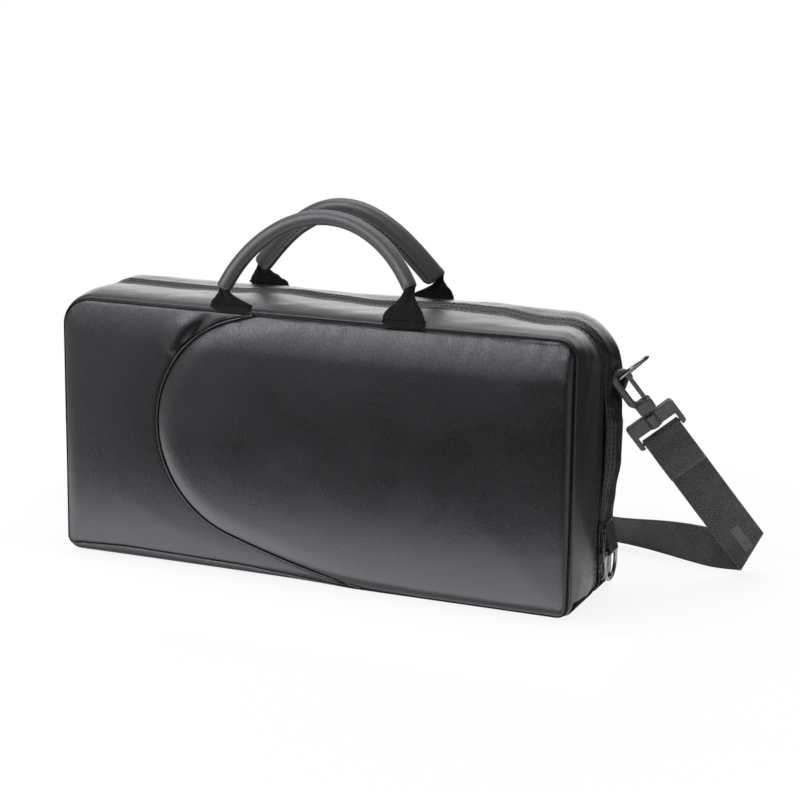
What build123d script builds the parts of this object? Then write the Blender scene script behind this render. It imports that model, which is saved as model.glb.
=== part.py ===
"""A zip-closed clarinet case in black leatherette, standing on its long narrow bottom.

Frame: +X to the right along the case, -Y to its front, +Z up. The origin is the centre of the footprint.
The front half is the lid and the back half the tray. They are joined by a leather hinge along the bottom
and closed by a zip up the left end, over the top and down the right end. All sizes are in millimetres.
"""

import os
from math import acos, copysign, cos, degrees, radians, sin

from build123d import *

os.makedirs("parts", exist_ok=True)

# ---- The case ----
case_length = 396.0
case_height = 196.0
lid_depth = 57.0  # front seam to zip
tray_depth = 37.0  # zip to back seam
top_left_front = 25.0  # the soft case's four upper corners, each with its own radius
top_left_back = 21.0
top_right_front = 15.0
top_right_back = 37.0
bottom_radius = 11.0
smallest_radius = 1.0

# ---- Layers of the walls, from the outside in ----
skin = 1.2  # leatherette
glue = 0.2  # clearance between bonded layers
tape = 0.8  # woven zip tape
board = 4.0  # moulded foam board
lining = 1.0  # plush

# ---- Seams, zip and hinge ----
piping_size = 3.2
flat_pad = 2.6  # how far the flat panels stand out of their seam
raised_pad = 5.6  # how far the raised panel stands out of its seam
back_pad = 4.6
raised_chamfer = 2.4
flat_chamfer = 1.2
curve_piping_width = 2.2
zip_lips = 4.0  # from the zip's middle to each leather lip
tape_width = 12.0
coil_gap = 0.5  # from the zip's middle to each coil
coil_width = 2.1
coil_proud = 0.6
zip_foot = 20.0  # height where the zip ends at both ends of the case
hinge_width = 12.0
soft_gap = 0.3  # clearance between soft pieces of the two halves

# ---- The raised panel's curved seam, on the front ----
curve_centre_x = -36.7
curve_centre_z = 107.0
curve_radius = 81.8
curve_foot_angle = 252.0  # where the round part ends, degrees from +X
curve_top_angle = 106.0  # where the straight part to the top edge starts
curve_tail_x = 54.0
curve_crest_run = 80.0

# ---- Zip slider ----
slider_foot = 40.0
slider_length = 14.0
slider_width = 9.0
slider_plate = 1.6
slider_post = 0.4
slider_travel = 100.0
pull_width = 5.0
pull_length = 21.0
pull_thickness = 1.3
pull_pin = 1.2

# ---- Insert for the instrument ----
insert_margin = 2.0  # between the tray's lining and the insert
insert_rise = 12.0  # how far the insert stands out of the tray
cavity_radius = 6.0
lower_joint = (-172.0, 90.0, 134.0, 178.0, 34.0)  # X from, X to, Z from, Z to, depth
barrel = (98.0, 168.0, 138.0, 174.0, 30.0)
upper_joint = (-182.0, 46.0, 87.0, 128.0, 32.0)
mouthpiece = (-182.0, -90.0, 44.0, 78.0, 29.0)
accessories = (-80.0, 46.0, 46.0, 76.0, 28.0)
bell_mouth = (178.0, 82.0)  # X and width of the wide end
bell_neck = (60.0, 40.0)  # X and width of the narrow end
bell_middle_z = 82.0
bell_depth = 38.5
flap_thickness = 3.0
flap_margin = 3.2  # how far the accessory lid overlaps its compartment

# ---- Handles ----
handle_span = 142.0  # between the grip's ends
grip_size = 11.0
core_size = 6.0
grip_foot = 16.0  # from the seam to the grip's ends
front_crown = 66.0  # from the seam to the front grip's crown
front_shoulder = 51.0  # from the seam to the grip at a fixed share of its half span
rear_crown = 64.5
rear_shoulder = 46.0
shoulder_share = 0.6
front_handle_x = 5.5
rear_handle_x = -10.0
front_lean = 15.0  # degrees towards the zip
rear_lean = 11.0
web_thickness = 2.2
web_base = 32.0
web_inset = 5.0  # how far the webbing's base lies inside the grip's end
hinge_clear = 0.4

# ---- D-rings ----
ring_wire = 2.8
ring_half_width = 12.0
ring_leg = 10.0
ring_bend = 3.0
ring_clear = 0.3
tab_wall = 1.5
tab_sheet = 2.4  # two layers of leather
tab_height = 17.0
upper_ring_stand = 6.0  # from the end of the case to the ring's bar
upper_ring_y = 35.0
upper_ring_z = 155.0
upper_ring_tilt = 43.0  # degrees above level
upper_tab_y = 39.3
upper_tab_width = 8.4
lower_ring_stand = 4.0
lower_ring_gap = 1.1  # between the zip's pull and the lower ring
lower_ring_z = 31.0
lower_tab_width = 16.0

# ---- Swivel snap hooks, drawn with the eye's centre at the sketch's origin and the strap below ----
eye_y = 29.3  # where the eye crosses the ring's bar
eye_slack = 0.9  # between the eye and the ring's bar
eye_radius = 5.0
hook_size = 3.4
shoulder_top = -23.5
shoulder_foot = -32.0
shoulder_ear = 1.2
gate_width = 2.8
gate_clear = 0.3
gate_tip = -4.7
gate_pivot = -27.0
pivot_radius = 0.7
stem_radius = 2.0
bore_clear = 0.06
head_radius = 3.2
head_height = 1.7
boss_radius = 5.2
base_width = 39.0
base_thickness = 5.0
base_top = -34.5
base_shelf = -38.6  # where the bore widens for the stem's head
slot_top = -45.5
slot_width = 31.4
slot_height = 6.1
bar_size = 2.2

# ---- Shoulder strap ----
strap_width = 30.0
strap_thickness = 1.6
strap_down = Vector(0.455, 0.44, -0.775).normalized()  # from the right hook to the fold
strap_side = Vector(0.732, 0.312, 0.606)  # across the strap there, so that the fold stands it on edge
floor_heading = 190.0  # the strap's way after the fold, degrees from +X
floor_clear = 0.6
wrap_clear = 0.3
sewn_run = 34.0  # the sewn overlap at the right hook
fold_radius = 3.0
heel_run = 9.0  # straight webbing between the fold and the heel's bend
heel_turn = 27.0
heel_radius = 50.0
doubled_run = 92.0  # the doubled end's run from the left hook to the adjuster
bow_angle = 11.0  # how far the hanging strap bows towards the front
bow_radius = 20.0
lean_angle = 35.0  # how far the strap on the floor leans towards the case
lean_from = 20.0  # the lean grows between these distances from the fold
lean_to = 110.0
glide_width = 38.0
glide_length = 22.0
glide_wall = 2.0
glide_window = 7.0
glide_clear = 0.3

front_y = -(lid_depth + tray_depth) / 2
zip_y = front_y + lid_depth
back_y = zip_y + tray_depth
end_x = case_length / 2
lower_ring_y = zip_y + pull_width / 2 + lower_ring_gap + ring_wire / 2 + ring_half_width
tape_inset = skin + glue
board_inset = tape_inset + tape + glue
lining_inset = board_inset + board + glue
seam_half = piping_size / 2 + glue
pad_inset = piping_size + glue


def top_radius(y, at_front, at_back):
    """The radius of an upper corner of the outline at y, which changes evenly from front to back."""
    share = (y - front_y) / (back_y - front_y)
    return at_front + (at_back - at_front) * share


def profile(y, inset=0.0):
    """The case's outline at y, set in from the outside, drawn with its height along the sketch's Y."""
    with BuildSketch() as face:
        with Locations((0, case_height / 2)):
            Rectangle(case_length - 2 * inset, case_height - 2 * inset)
        upper_left = face.vertices().group_by(Axis.Y)[-1].sort_by(Axis.X)[0]
        fillet(upper_left, max(top_radius(y, top_left_front, top_left_back) - inset, smallest_radius))
        upper_right = face.vertices().group_by(Axis.Y)[-1].sort_by(Axis.X)[-1]
        fillet(upper_right, max(top_radius(y, top_right_front, top_right_back) - inset, smallest_radius))
        lower = face.vertices().group_by(Axis.Y)[0]
        fillet(lower, max(bottom_radius - inset, smallest_radius))
    return face.sketch


def outline(y, inset=0.0):
    """The same outline, standing in its place."""
    return Plane.XZ.offset(-y) * profile(y, inset)


def bulk(y_from, y_to, inset=0.0, mode=Mode.ADD):
    """A length of the case's body between two values of y."""
    loft(sections=[outline(y_from, inset), outline(y_to, inset)], ruled=True, mode=mode)


def block(x, y, z, mode=Mode.ADD):
    """A box given by its (from, to) on each axis."""
    with Locations(((x[0] + x[1]) / 2, (y[0] + y[1]) / 2, (z[0] + z[1]) / 2)):
        Box(abs(x[1] - x[0]), abs(y[1] - y[0]), abs(z[1] - z[0]), mode=mode)


def save(piece, name):
    """Labels a finished piece and writes its file."""
    piece.label = name
    export_step(piece, f"parts/{name}.step")


# ---- Moulded shells of the two halves ----
lid_board_front = front_y + seam_half
tray_board_back = back_y - seam_half
rim_step = zip_lips - 1.0

with BuildPart() as lid_shell:
    bulk(lid_board_front, zip_y - rim_step, board_inset)
    bulk(lid_board_front + board, zip_y, board_inset + board, mode=Mode.SUBTRACT)
save(lid_shell.part, "lid_shell")

with BuildPart() as tray_shell:
    bulk(zip_y + rim_step, tray_board_back, board_inset)
    bulk(zip_y, tray_board_back - board, board_inset + board, mode=Mode.SUBTRACT)
save(tray_shell.part, "tray_shell")

# ---- Plush linings ----
lid_lining_front = lid_board_front + board + glue
tray_lining_back = tray_board_back - board - glue

with BuildPart() as lid_lining:
    bulk(lid_lining_front, zip_y - rim_step, lining_inset)
    bulk(lid_lining_front + lining, zip_y, lining_inset + lining, mode=Mode.SUBTRACT)
save(lid_lining.part, "lid_lining")

with BuildPart() as tray_lining:
    bulk(zip_y + rim_step, tray_lining_back, lining_inset)
    bulk(zip_y, tray_lining_back - lining, lining_inset + lining, mode=Mode.SUBTRACT)
save(tray_lining.part, "tray_lining")


# ---- Leather gussets round the ends and the top, and the leather bottoms ----
def band(y_from, y_to, outer, inner):
    """A wall that follows the outline between two values of y."""
    bulk(y_from, y_to, outer)
    bulk(y_from - 1, y_to + 1, inner, mode=Mode.SUBTRACT)


bottom_half = end_x - bottom_radius


def open_bottom():
    """Cuts a band's straight bottom away, where the bottom panel goes."""
    span = (-bottom_half, bottom_half)
    block(span, (front_y - 9, back_y + 9), (-5, board_inset), mode=Mode.SUBTRACT)


with BuildPart() as lid_gusset:
    band(front_y + seam_half, zip_y - zip_lips, 0, skin)
    open_bottom()
save(lid_gusset.part, "lid_gusset")

with BuildPart() as tray_gusset:
    band(zip_y + zip_lips, back_y - seam_half, 0, skin)
    open_bottom()
save(tray_gusset.part, "tray_gusset")

panel_half = bottom_half - soft_gap
hinge_half = hinge_width / 2

with BuildPart() as lid_bottom:
    edge = zip_y - hinge_half - soft_gap
    block((-panel_half, panel_half), (front_y + seam_half, edge), (0, skin))
save(lid_bottom.part, "lid_bottom")

with BuildPart() as tray_bottom:
    edge = zip_y + hinge_half + soft_gap
    block((-panel_half, panel_half), (edge, back_y - seam_half), (0, skin))
save(tray_bottom.part, "tray_bottom")

with BuildPart() as hinge_strip:
    span = (zip_y - hinge_half, zip_y + hinge_half)
    block((-panel_half, panel_half), span, (glue, skin))
save(hinge_strip.part, "hinge_strip")


# ---- Edge piping ----
def bead(y):
    """A round bead that follows the outline at y, its outside flush with the leather."""
    track = outline(y, piping_size / 2).face().outer_wire()
    with BuildSketch(track ^ 0) as section:
        Circle(piping_size / 2)
    sweep(sections=section.sketch, path=track)


with BuildPart() as front_piping:
    bead(front_y)
save(front_piping.part, "front_piping")

with BuildPart() as back_piping:
    bead(back_y)
save(back_piping.part, "back_piping")


# ---- Front and back panels ----
def raised_region(grow):
    """The area right of the front's curved seam, grown to the left by a width."""
    radius = curve_radius + grow
    centre = Vector(curve_centre_x, curve_centre_z)
    spoke = Vector(radius, 0)
    top = centre + spoke.rotate(Axis.Z, curve_top_angle)
    left = centre + spoke.rotate(Axis.Z, (curve_top_angle + curve_foot_angle) / 2)
    foot = centre + spoke.rotate(Axis.Z, curve_foot_angle)
    crest = top + Vector(curve_crest_run, 0).rotate(Axis.Z, curve_top_angle - 90)
    heading = Vector(1, 0).rotate(Axis.Z, curve_foot_angle + 90)
    with BuildSketch() as region:
        with BuildLine():
            ThreePointArc(top, left, foot)
            TangentArc(foot, (curve_tail_x, -grow), tangent=heading)
            Polyline(
                (curve_tail_x, -grow), (curve_tail_x, -case_height), (case_length, -case_height),
                (case_length, 2 * case_height), (crest.X, 2 * case_height), crest, top,
            )
        make_face()
    return region.sketch


pad_back = front_y + seam_half - glue
pad_floor = pad_back - front_y

with BuildPart() as front_panel_right:
    with BuildSketch(Plane.XZ.offset(-pad_back)):
        add(profile(front_y, pad_inset))
        add(raised_region(0), mode=Mode.INTERSECT)
    extrude(amount=raised_pad + pad_floor)
    chamfer(front_panel_right.faces().sort_by(Axis.Y)[0].edges(), raised_chamfer)
save(front_panel_right.part, "front_panel_right")

with BuildPart() as curve_piping:
    with BuildSketch(Plane.XZ.offset(-pad_back)):
        add(profile(front_y, pad_inset))
        add(raised_region(curve_piping_width + glue), mode=Mode.INTERSECT)
        add(raised_region(glue), mode=Mode.SUBTRACT)
    extrude(amount=(raised_pad + flat_pad) / 2 + pad_floor)
save(curve_piping.part, "curve_piping")

with BuildPart() as front_panel_left:
    with BuildSketch(Plane.XZ.offset(-pad_back)):
        add(profile(front_y, pad_inset))
        add(raised_region(curve_piping_width + 2 * glue), mode=Mode.SUBTRACT)
    extrude(amount=flat_pad + pad_floor)
    chamfer(front_panel_left.faces().sort_by(Axis.Y)[0].edges(), flat_chamfer)
save(front_panel_left.part, "front_panel_left")

with BuildPart() as back_panel:
    with BuildSketch(Plane.XZ.offset(-(back_y - pad_floor))):
        add(profile(back_y, pad_inset))
    extrude(amount=-(back_pad + pad_floor))
    chamfer(back_panel.faces().sort_by(Axis.Y)[-1].edges(), raised_chamfer)
save(back_panel.part, "back_panel")


# ---- Zip ----
def zip_band(y_from, y_to, outer, inner, left_foot, right_foot):
    """A strip of the zip that runs up the left end, over the top and down the right end."""
    band(y_from, y_to, outer, inner)
    y = (y_from - 1, y_to + 1)
    block((-case_length, 0), y, (-case_height, left_foot), mode=Mode.SUBTRACT)
    block((0, case_length), y, (-case_height, right_foot), mode=Mode.SUBTRACT)


stop_height = 2.7
tape_tail = 6.0  # tape below the last tooth
parked_top = slider_foot + slider_length + soft_gap  # the lid's zip starts above the parked slider
tape_inside = tape_inset + tape
coil_inside = tape_inset - glue
lid_coil = (zip_y - coil_gap - coil_width, zip_y - coil_gap)
tray_coil = (zip_y + coil_gap, zip_y + coil_gap + coil_width)

with BuildPart() as zip_tape_lid:
    zip_band(zip_y - tape_width, zip_y - coil_gap, tape_inset, tape_inside, zip_foot - tape_tail, parked_top)
save(zip_tape_lid.part, "zip_tape_lid")

with BuildPart() as zip_tape_tray:
    foot = zip_foot - tape_tail
    zip_band(zip_y + coil_gap, zip_y + tape_width, tape_inset, tape_inside, foot, foot)
save(zip_tape_tray.part, "zip_tape_tray")

with BuildPart() as zip_coil_lid:
    zip_band(*lid_coil, -coil_proud, coil_inside, zip_foot, parked_top + stop_height + glue)
save(zip_coil_lid.part, "zip_coil_lid")

with BuildPart() as zip_coil_tray:
    zip_band(*tray_coil, -coil_proud, coil_inside, zip_foot, zip_foot)
save(zip_coil_tray.part, "zip_coil_tray")


def stop(side, coil, top):
    """A metal clamp below the last tooth of a coil."""
    x = (side * (end_x - coil_inside), side * (end_x + coil_proud))
    block(x, coil, (top - stop_height, top))


with BuildPart() as zip_stops_lid:
    stop(-1, lid_coil, zip_foot - glue)
    stop(1, lid_coil, parked_top + stop_height)
save(zip_stops_lid.part, "zip_stops_lid")

with BuildPart() as zip_stops_tray:
    stop(-1, tray_coil, zip_foot - glue)
    stop(1, tray_coil, zip_foot - glue)
save(zip_stops_tray.part, "zip_stops_tray")

# ---- Zip slider and its pull, parked at the foot of the right end ----
slider_inside = end_x - tape_inside - glue
slider_outside = end_x + coil_proud + glue
slider_face = slider_outside + slider_plate
crown_half = 1.1
crown_height = 3.2
crown_length = 8.0
pin_x = slider_face + 1.6
pin_z = slider_foot + slider_length / 2
pin_clear = 0.25
slider_z = (slider_foot, slider_foot + slider_length)

with BuildPart() as zip_slider:
    half = slider_width / 2
    block((slider_outside, slider_face), (zip_y - half, zip_y + half), slider_z)
    inner_half = rim_step - glue
    block((slider_inside - slider_plate, slider_inside), (zip_y - inner_half, zip_y + inner_half), slider_z)
    post = (zip_y - slider_post / 2, zip_y + slider_post / 2)
    block((slider_inside, slider_outside), post, (slider_foot, slider_foot + 3))
    crown = (pin_z - crown_length / 2, pin_z + crown_length / 2)
    block((slider_face, slider_face + crown_height), (zip_y - crown_half, zip_y + crown_half), crown)
    with BuildSketch(Plane.XZ.offset(-(zip_y - crown_half - 1))):
        with Locations((pin_x, pin_z)):
            Circle(pull_pin / 2 + pin_clear)
    extrude(amount=-2 * (crown_half + 1), mode=Mode.SUBTRACT)
save(zip_slider.part, "zip_slider")

with BuildPart() as zip_pull:
    x = (pin_x - pull_thickness / 2, pin_x + pull_thickness / 2)
    half = pull_width / 2
    window = crown_half + 0.4
    block(x, (zip_y - half, zip_y + half), (pin_z - pull_length, pin_z))
    block(x, (zip_y - window, zip_y + window), (pin_z - crown_length / 2 - 1, pin_z + 1), mode=Mode.SUBTRACT)
    with BuildSketch(Plane.XZ.offset(-(zip_y - half))):
        with Locations((pin_x, pin_z)):
            Circle(pull_pin / 2)
    extrude(amount=-pull_width)
save(zip_pull.part, "zip_pull")

# ---- Moulded insert for the instrument's joints ----
insert_front = zip_y - insert_rise
insert_back = tray_lining_back - lining - glue
insert_inset = lining_inset + lining + insert_margin


def cavity(x_from, x_to, z_from, z_to, depth):
    """A rounded compartment sunk into the insert's front."""
    with BuildSketch(Plane.XZ.offset(-insert_front)) as mouth:
        with Locations(((x_from + x_to) / 2, (z_from + z_to) / 2)):
            RectangleRounded(x_to - x_from, z_to - z_from, cavity_radius)
    extrude(mouth.sketch, amount=-depth, mode=Mode.SUBTRACT)


flap_x = (accessories[0] - flap_margin, accessories[1] + flap_margin)
flap_z = (accessories[2] - flap_margin, accessories[3] + flap_margin)

with BuildPart() as insert:
    bulk(insert_front, insert_back, insert_inset)
    for place in (lower_joint, barrel, upper_joint, mouthpiece, accessories):
        cavity(*place)
    with BuildSketch(Plane.XZ.offset(-insert_front)):
        with BuildLine():
            Polyline(
                (bell_neck[0], bell_middle_z - bell_neck[1] / 2),
                (bell_mouth[0], bell_middle_z - bell_mouth[1] / 2),
                (bell_mouth[0], bell_middle_z + bell_mouth[1] / 2),
                (bell_neck[0], bell_middle_z + bell_neck[1] / 2),
                close=True,
            )
        make_face()
    extrude(amount=-bell_depth, mode=Mode.SUBTRACT)
    rebate_x = (flap_x[0] - soft_gap, flap_x[1] + soft_gap)
    rebate_z = (flap_z[0] - soft_gap, flap_z[1] + soft_gap)
    rebate_y = (insert_front - 1, insert_front + flap_thickness + soft_gap)
    block(rebate_x, rebate_y, rebate_z, mode=Mode.SUBTRACT)
save(insert.part, "insert")

with BuildPart() as accessory_lid:
    block(flap_x, (insert_front, insert_front + flap_thickness), flap_z)
save(accessory_lid.part, "accessory_lid")

ribbon_thickness = 0.6
trim_y = (insert_front - glue - ribbon_thickness, insert_front - glue)

with BuildPart() as accessory_pull:
    middle = (flap_x[0] + flap_x[1]) / 2
    block((middle - 5, middle + 5), trim_y, (flap_z[1] - 11, flap_z[1] - 1))
save(accessory_pull.part, "accessory_pull")

with BuildPart() as accessory_hinge:
    block((flap_x[0] + 2, flap_x[1] - 2), trim_y, (flap_z[0] - 8, flap_z[0] + 8))
save(accessory_hinge.part, "accessory_hinge")

# ---- Handles ----
handle_z = case_height + hinge_clear + web_thickness / 2


def handle(name, middle_x, seam_y, lean, crown, shoulder):
    """A handle's grip, core and webbing. Lean is in degrees towards +Y."""
    origin = (middle_x, seam_y, handle_z)
    face = Plane(origin=origin, x_dir=(1, 0, 0), z_dir=(0, -cos(radians(lean)), sin(radians(lean))))
    half = handle_span / 2
    step = half * shoulder_share
    line = [(-half, grip_foot), (-step, shoulder), (0, crown), (step, shoulder), (half, grip_foot)]
    arch = face * Spline(*line)
    end = Plane(origin=arch @ 0, z_dir=arch % 0)
    web_top = grip_foot - grip_size / 2 * abs((arch % 0).X) - glue
    with BuildPart() as grip:
        with BuildSketch(end):
            Circle(grip_size / 2)
            Circle(core_size / 2 + glue, mode=Mode.SUBTRACT)
        sweep(path=arch)
    save(grip.part, f"{name}_handle_grip")
    with BuildPart() as core:
        with BuildSketch(end):
            Circle(core_size / 2)
        sweep(path=arch)
    save(core.part, f"{name}_handle_core")
    with BuildPart() as webbing:
        for side in (-1, 1):
            base = side * (half - web_inset)
            with BuildSketch(face):
                with BuildLine():
                    Polyline(
                        (base - web_base / 2, 0), (base + web_base / 2, 0),
                        (side * half + core_size, web_top), (side * half - core_size, web_top),
                        close=True,
                    )
                make_face()
            extrude(amount=web_thickness / 2, both=True)
            with BuildSketch(Plane.YZ.offset(middle_x + base - web_base / 2)):
                with Locations((seam_y, handle_z)):
                    Circle(web_thickness / 2)
            extrude(amount=web_base)
    save(webbing.part, f"{name}_handle_webbing")


handle("front", front_handle_x, front_y, front_lean, front_crown, front_shoulder)
handle("rear", rear_handle_x, back_y, -rear_lean, rear_crown, rear_shoulder)


# ---- D-rings in their leather tabs ----
def ring_and_tab(place, stand, ring_y, ring_z, tilt, tab_y, tab_width, tab_side):
    """A D-ring and its tab on the right end, and their mirror images on the left end."""
    bar_x = end_x + stand
    rise = radians(tilt)
    face = Plane(origin=(bar_x, ring_y, ring_z), x_dir=(0, 1, 0), z_dir=(sin(rise), 0, -cos(rise)))
    half, bend, leg = ring_half_width, ring_bend, ring_leg
    with BuildPart() as ring:
        with BuildLine(face) as loop:
            Line((bend - half, 0), (half - bend, 0))
            RadiusArc((half - bend, 0), (half, bend), -bend)
            Line((half, bend), (half, leg))
            ThreePointArc((half, leg), (0, leg + half), (-half, leg))
            Line((-half, leg), (-half, bend))
            RadiusArc((-half, bend), (bend - half, 0), -bend)
        with BuildSketch(Plane(origin=(bar_x, ring_y, ring_z), z_dir=(0, 1, 0))):
            Circle(ring_wire / 2)
        sweep(path=loop.wire())
    with BuildPart() as tab:
        wire_hole = ring_wire / 2 + ring_clear
        with BuildSketch(Plane.XZ.offset(tab_width / 2 - tab_y)):
            with Locations((bar_x, ring_z)):
                Circle(wire_hole + tab_wall)
            sheet_z = ring_z + tab_side * (tab_height / 2 + wire_hole + tab_wall)
            with Locations((end_x + glue + tab_sheet / 2, sheet_z)):
                Rectangle(tab_sheet, tab_height)
            make_hull()
            with Locations((bar_x, ring_z)):
                Circle(wire_hole, mode=Mode.SUBTRACT)
        extrude(amount=-tab_width)
    for end, about in (("right", None), ("left", Plane.YZ)):
        save(ring.part if about is None else mirror(ring.part, about=about), f"{place}_ring_{end}")
        save(tab.part if about is None else mirror(tab.part, about=about), f"{place}_tab_{end}")


ring_and_tab(
    "upper", upper_ring_stand, upper_ring_y, upper_ring_z, upper_ring_tilt,
    upper_tab_y, upper_tab_width, -1,
)
ring_and_tab(
    "lower", lower_ring_stand, lower_ring_y, lower_ring_z, -90, lower_ring_y, lower_tab_width, 1,
)

# ---- Swivel snap hooks ----
strap_across = (strap_side - strap_down * strap_side.dot(strap_down)).normalized()
strap_face = strap_down.cross(strap_across)
ring_bar = Vector(end_x + upper_ring_stand, eye_y, upper_ring_z)
eye_centre = ring_bar + strap_down * (eye_radius - hook_size / 2 - ring_wire / 2 - eye_slack)
hook_plane = Plane(origin=eye_centre, x_dir=strap_across, z_dir=strap_face)
bar_y = slot_top - slot_height - bar_size / 2
base_foot = bar_y - bar_size / 2 - 2


def stem_plane(height):
    """A plane square across the hook's stem, its normal pointing to the eye."""
    origin = eye_centre - strap_down * height
    return Plane(origin=origin, x_dir=strap_across, z_dir=-strap_down)


def pillar(radius, low, high, mode=Mode.ADD):
    """A round length of the hook's stem, or of the bore round it."""
    with BuildSketch(stem_plane(low)) as end:
        Circle(radius)
    extrude(end.sketch, amount=high - low, mode=mode)


with BuildPart() as snap_hook:
    with BuildLine(hook_plane) as track:
        spine = FilletPolyline(
            (0, shoulder_foot + 1), (0, shoulder_foot + 4), (-eye_radius, shoulder_top + 3),
            (-eye_radius, 0), radius=2.5,
        )
        ThreePointArc((-eye_radius, 0), (0, eye_radius), (eye_radius, 0))
        Line((eye_radius, 0), (eye_radius, gate_tip + gate_width / 2 + gate_clear))
    with BuildSketch(stem_plane(shoulder_foot + 1)):
        Circle(hook_size / 2)
    sweep(path=track.wire())
    ears = gate_width / 2 + gate_clear + shoulder_ear
    with BuildSketch(hook_plane):
        with Locations((eye_radius / 2 - 0.8, (shoulder_top + shoulder_foot) / 2)):
            RectangleRounded(eye_radius + 6.0, shoulder_top - shoulder_foot, 1.2)
    extrude(amount=ears, both=True)
    with BuildSketch(hook_plane):
        with Locations((eye_radius + 1.6, gate_pivot + 1.4)):
            Rectangle(2 * 1.6 + 2 * gate_width, shoulder_top - shoulder_foot)
    extrude(amount=gate_width / 2 + gate_clear, both=True, mode=Mode.SUBTRACT)
    with BuildSketch(hook_plane):
        with Locations((eye_radius, gate_pivot)):
            Circle(pivot_radius)
    extrude(amount=ears, both=True)
    pillar(stem_radius, base_shelf - bore_clear, shoulder_foot + 0.5)
    pillar(head_radius, base_shelf - bore_clear - head_height, base_shelf - bore_clear)

with BuildPart() as hook_gate:
    with BuildSketch(hook_plane):
        with Locations((eye_radius, (gate_pivot + gate_tip) / 2)):
            SlotCenterToCenter(gate_tip - gate_pivot, gate_width, rotation=90)
        with Locations((eye_radius, gate_pivot)):
            Circle(pivot_radius + bore_clear, mode=Mode.SUBTRACT)
    extrude(amount=gate_width / 2, both=True)

with BuildPart() as hook_base:
    with BuildSketch(hook_plane):
        with Locations((0, (base_top + base_foot) / 2)):
            RectangleRounded(base_width, base_top - base_foot, 2.5)
        with Locations((0, (slot_top + base_foot - 1) / 2)):
            Rectangle(slot_width, slot_top - base_foot + 1, mode=Mode.SUBTRACT)
    extrude(amount=base_thickness / 2, both=True)
    pillar(boss_radius, slot_top, base_top)
    pillar(stem_radius + bore_clear, slot_top - 1, base_top + 1, mode=Mode.SUBTRACT)
    pillar(head_radius + bore_clear, slot_top - 1, base_shelf, mode=Mode.SUBTRACT)
    bar_end = eye_centre - strap_down * bar_y - strap_across * (slot_width / 2 + 1)
    with BuildSketch(Plane(origin=bar_end, x_dir=strap_down, z_dir=strap_across)):
        Circle(bar_size / 2)
    extrude(amount=slot_width + 2)

for piece, name in ((snap_hook, "snap_hook"), (hook_gate, "hook_gate"), (hook_base, "hook_base")):
    save(piece.part, f"{name}_right")
    save(mirror(piece.part, about=Plane.YZ), f"{name}_left")


# ---- Shoulder strap: a flat band that only bends and folds, so its length is the webbing's own ----
class Band:
    """The band's rulings: at each, its middle, the half-width along the ruling, and its normal."""

    def __init__(self, middle, along, across):
        self.middle, self.along, self.across = middle, along, across
        self.rulings = []
        self.length = 0.0
        self.marked = -1.0
        self.leans_after = 1e6

    def mark(self, crease=90.0):
        """Adds the ruling that crosses the band here, at an angle from its length."""
        if self.length == self.marked:
            return
        self.marked = self.length
        turn = radians(crease)
        ruling = self.along * cos(turn) + self.across * sin(turn)
        reach = ruling * (strap_width / 2 / sin(turn))
        normal = self.along.cross(self.across)
        middle = self.middle
        if self.length > self.leans_after:
            share = min((self.length - self.leans_after) / (lean_to - lean_from), 1)
            lean = lean_angle * share * share * (3 - 2 * share)
            spin = Axis((0, 0, 0), self.along)
            reach, normal = reach.rotate(spin, -lean), normal.rotate(spin, -lean)
            foot = strap_width / 2 * cos(radians(lean)) + strap_thickness / 2 * sin(radians(lean))
            middle = Vector(middle.X, middle.Y, foot + floor_clear)
        self.rulings.append((middle, reach, normal))

    def run(self, distance):
        """Carries on in a straight line."""
        self.middle += self.along * distance
        self.length += distance

    def fold(self, angle, radius, crease=90.0, steps=6):
        """Bends towards its normal by an angle, about a crease, at the radius of its middle."""
        turn, sense = radians(crease), copysign(1, angle)
        ruling = self.along * cos(turn) + self.across * sin(turn)
        self.mark(crease)
        for _ in range(steps):
            forward = self.along - ruling * ruling.dot(self.along)
            forward = forward.normalized()
            normal = self.along.cross(self.across) * sense
            bend = radians(abs(angle)) / steps
            arc = radius * bend / sin(turn)
            side = normal * (radius * (1 - cos(bend))) + forward * (radius * sin(bend))
            self.middle += ruling * (arc * cos(turn)) + side
            spin = Axis((0, 0, 0), ruling)
            self.along = self.along.rotate(spin, -degrees(bend) * sense)
            self.across = self.across.rotate(spin, -degrees(bend) * sense)
            self.length += arc
            self.mark(crease)

    def bow(self, distance):
        """Gets as far along as a straight run would, in a shallow arc towards the band's normal."""
        spread = radians(bow_angle)
        long_radius = distance / (2 * sin(spread)) - bow_radius
        self.fold(bow_angle, bow_radius, steps=3)
        self.fold(-2 * bow_angle, long_radius, steps=8)
        self.fold(bow_angle, bow_radius, steps=3)


def band_solid(rulings, shift=0.0):
    """The band's solid through its rulings, moved off its middle by a distance along the normal."""
    sections = []
    for middle, reach, normal in rulings:
        low = middle + normal * (shift - strap_thickness / 2)
        high = middle + normal * (shift + strap_thickness / 2)
        corners = [low - reach, low + reach, high + reach, high - reach]
        sections.append(Face(Wire.make_polygon(corners)))
    loft(sections=sections, ruled=True)


def mirrored(rulings):
    """The same rulings on the other side of the case, in the opposite order."""
    flip = Vector(-1, 1, 1)
    return [tuple(Vector(v.X * flip.X, v.Y, v.Z) for v in ruling) for ruling in reversed(rulings)]


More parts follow.
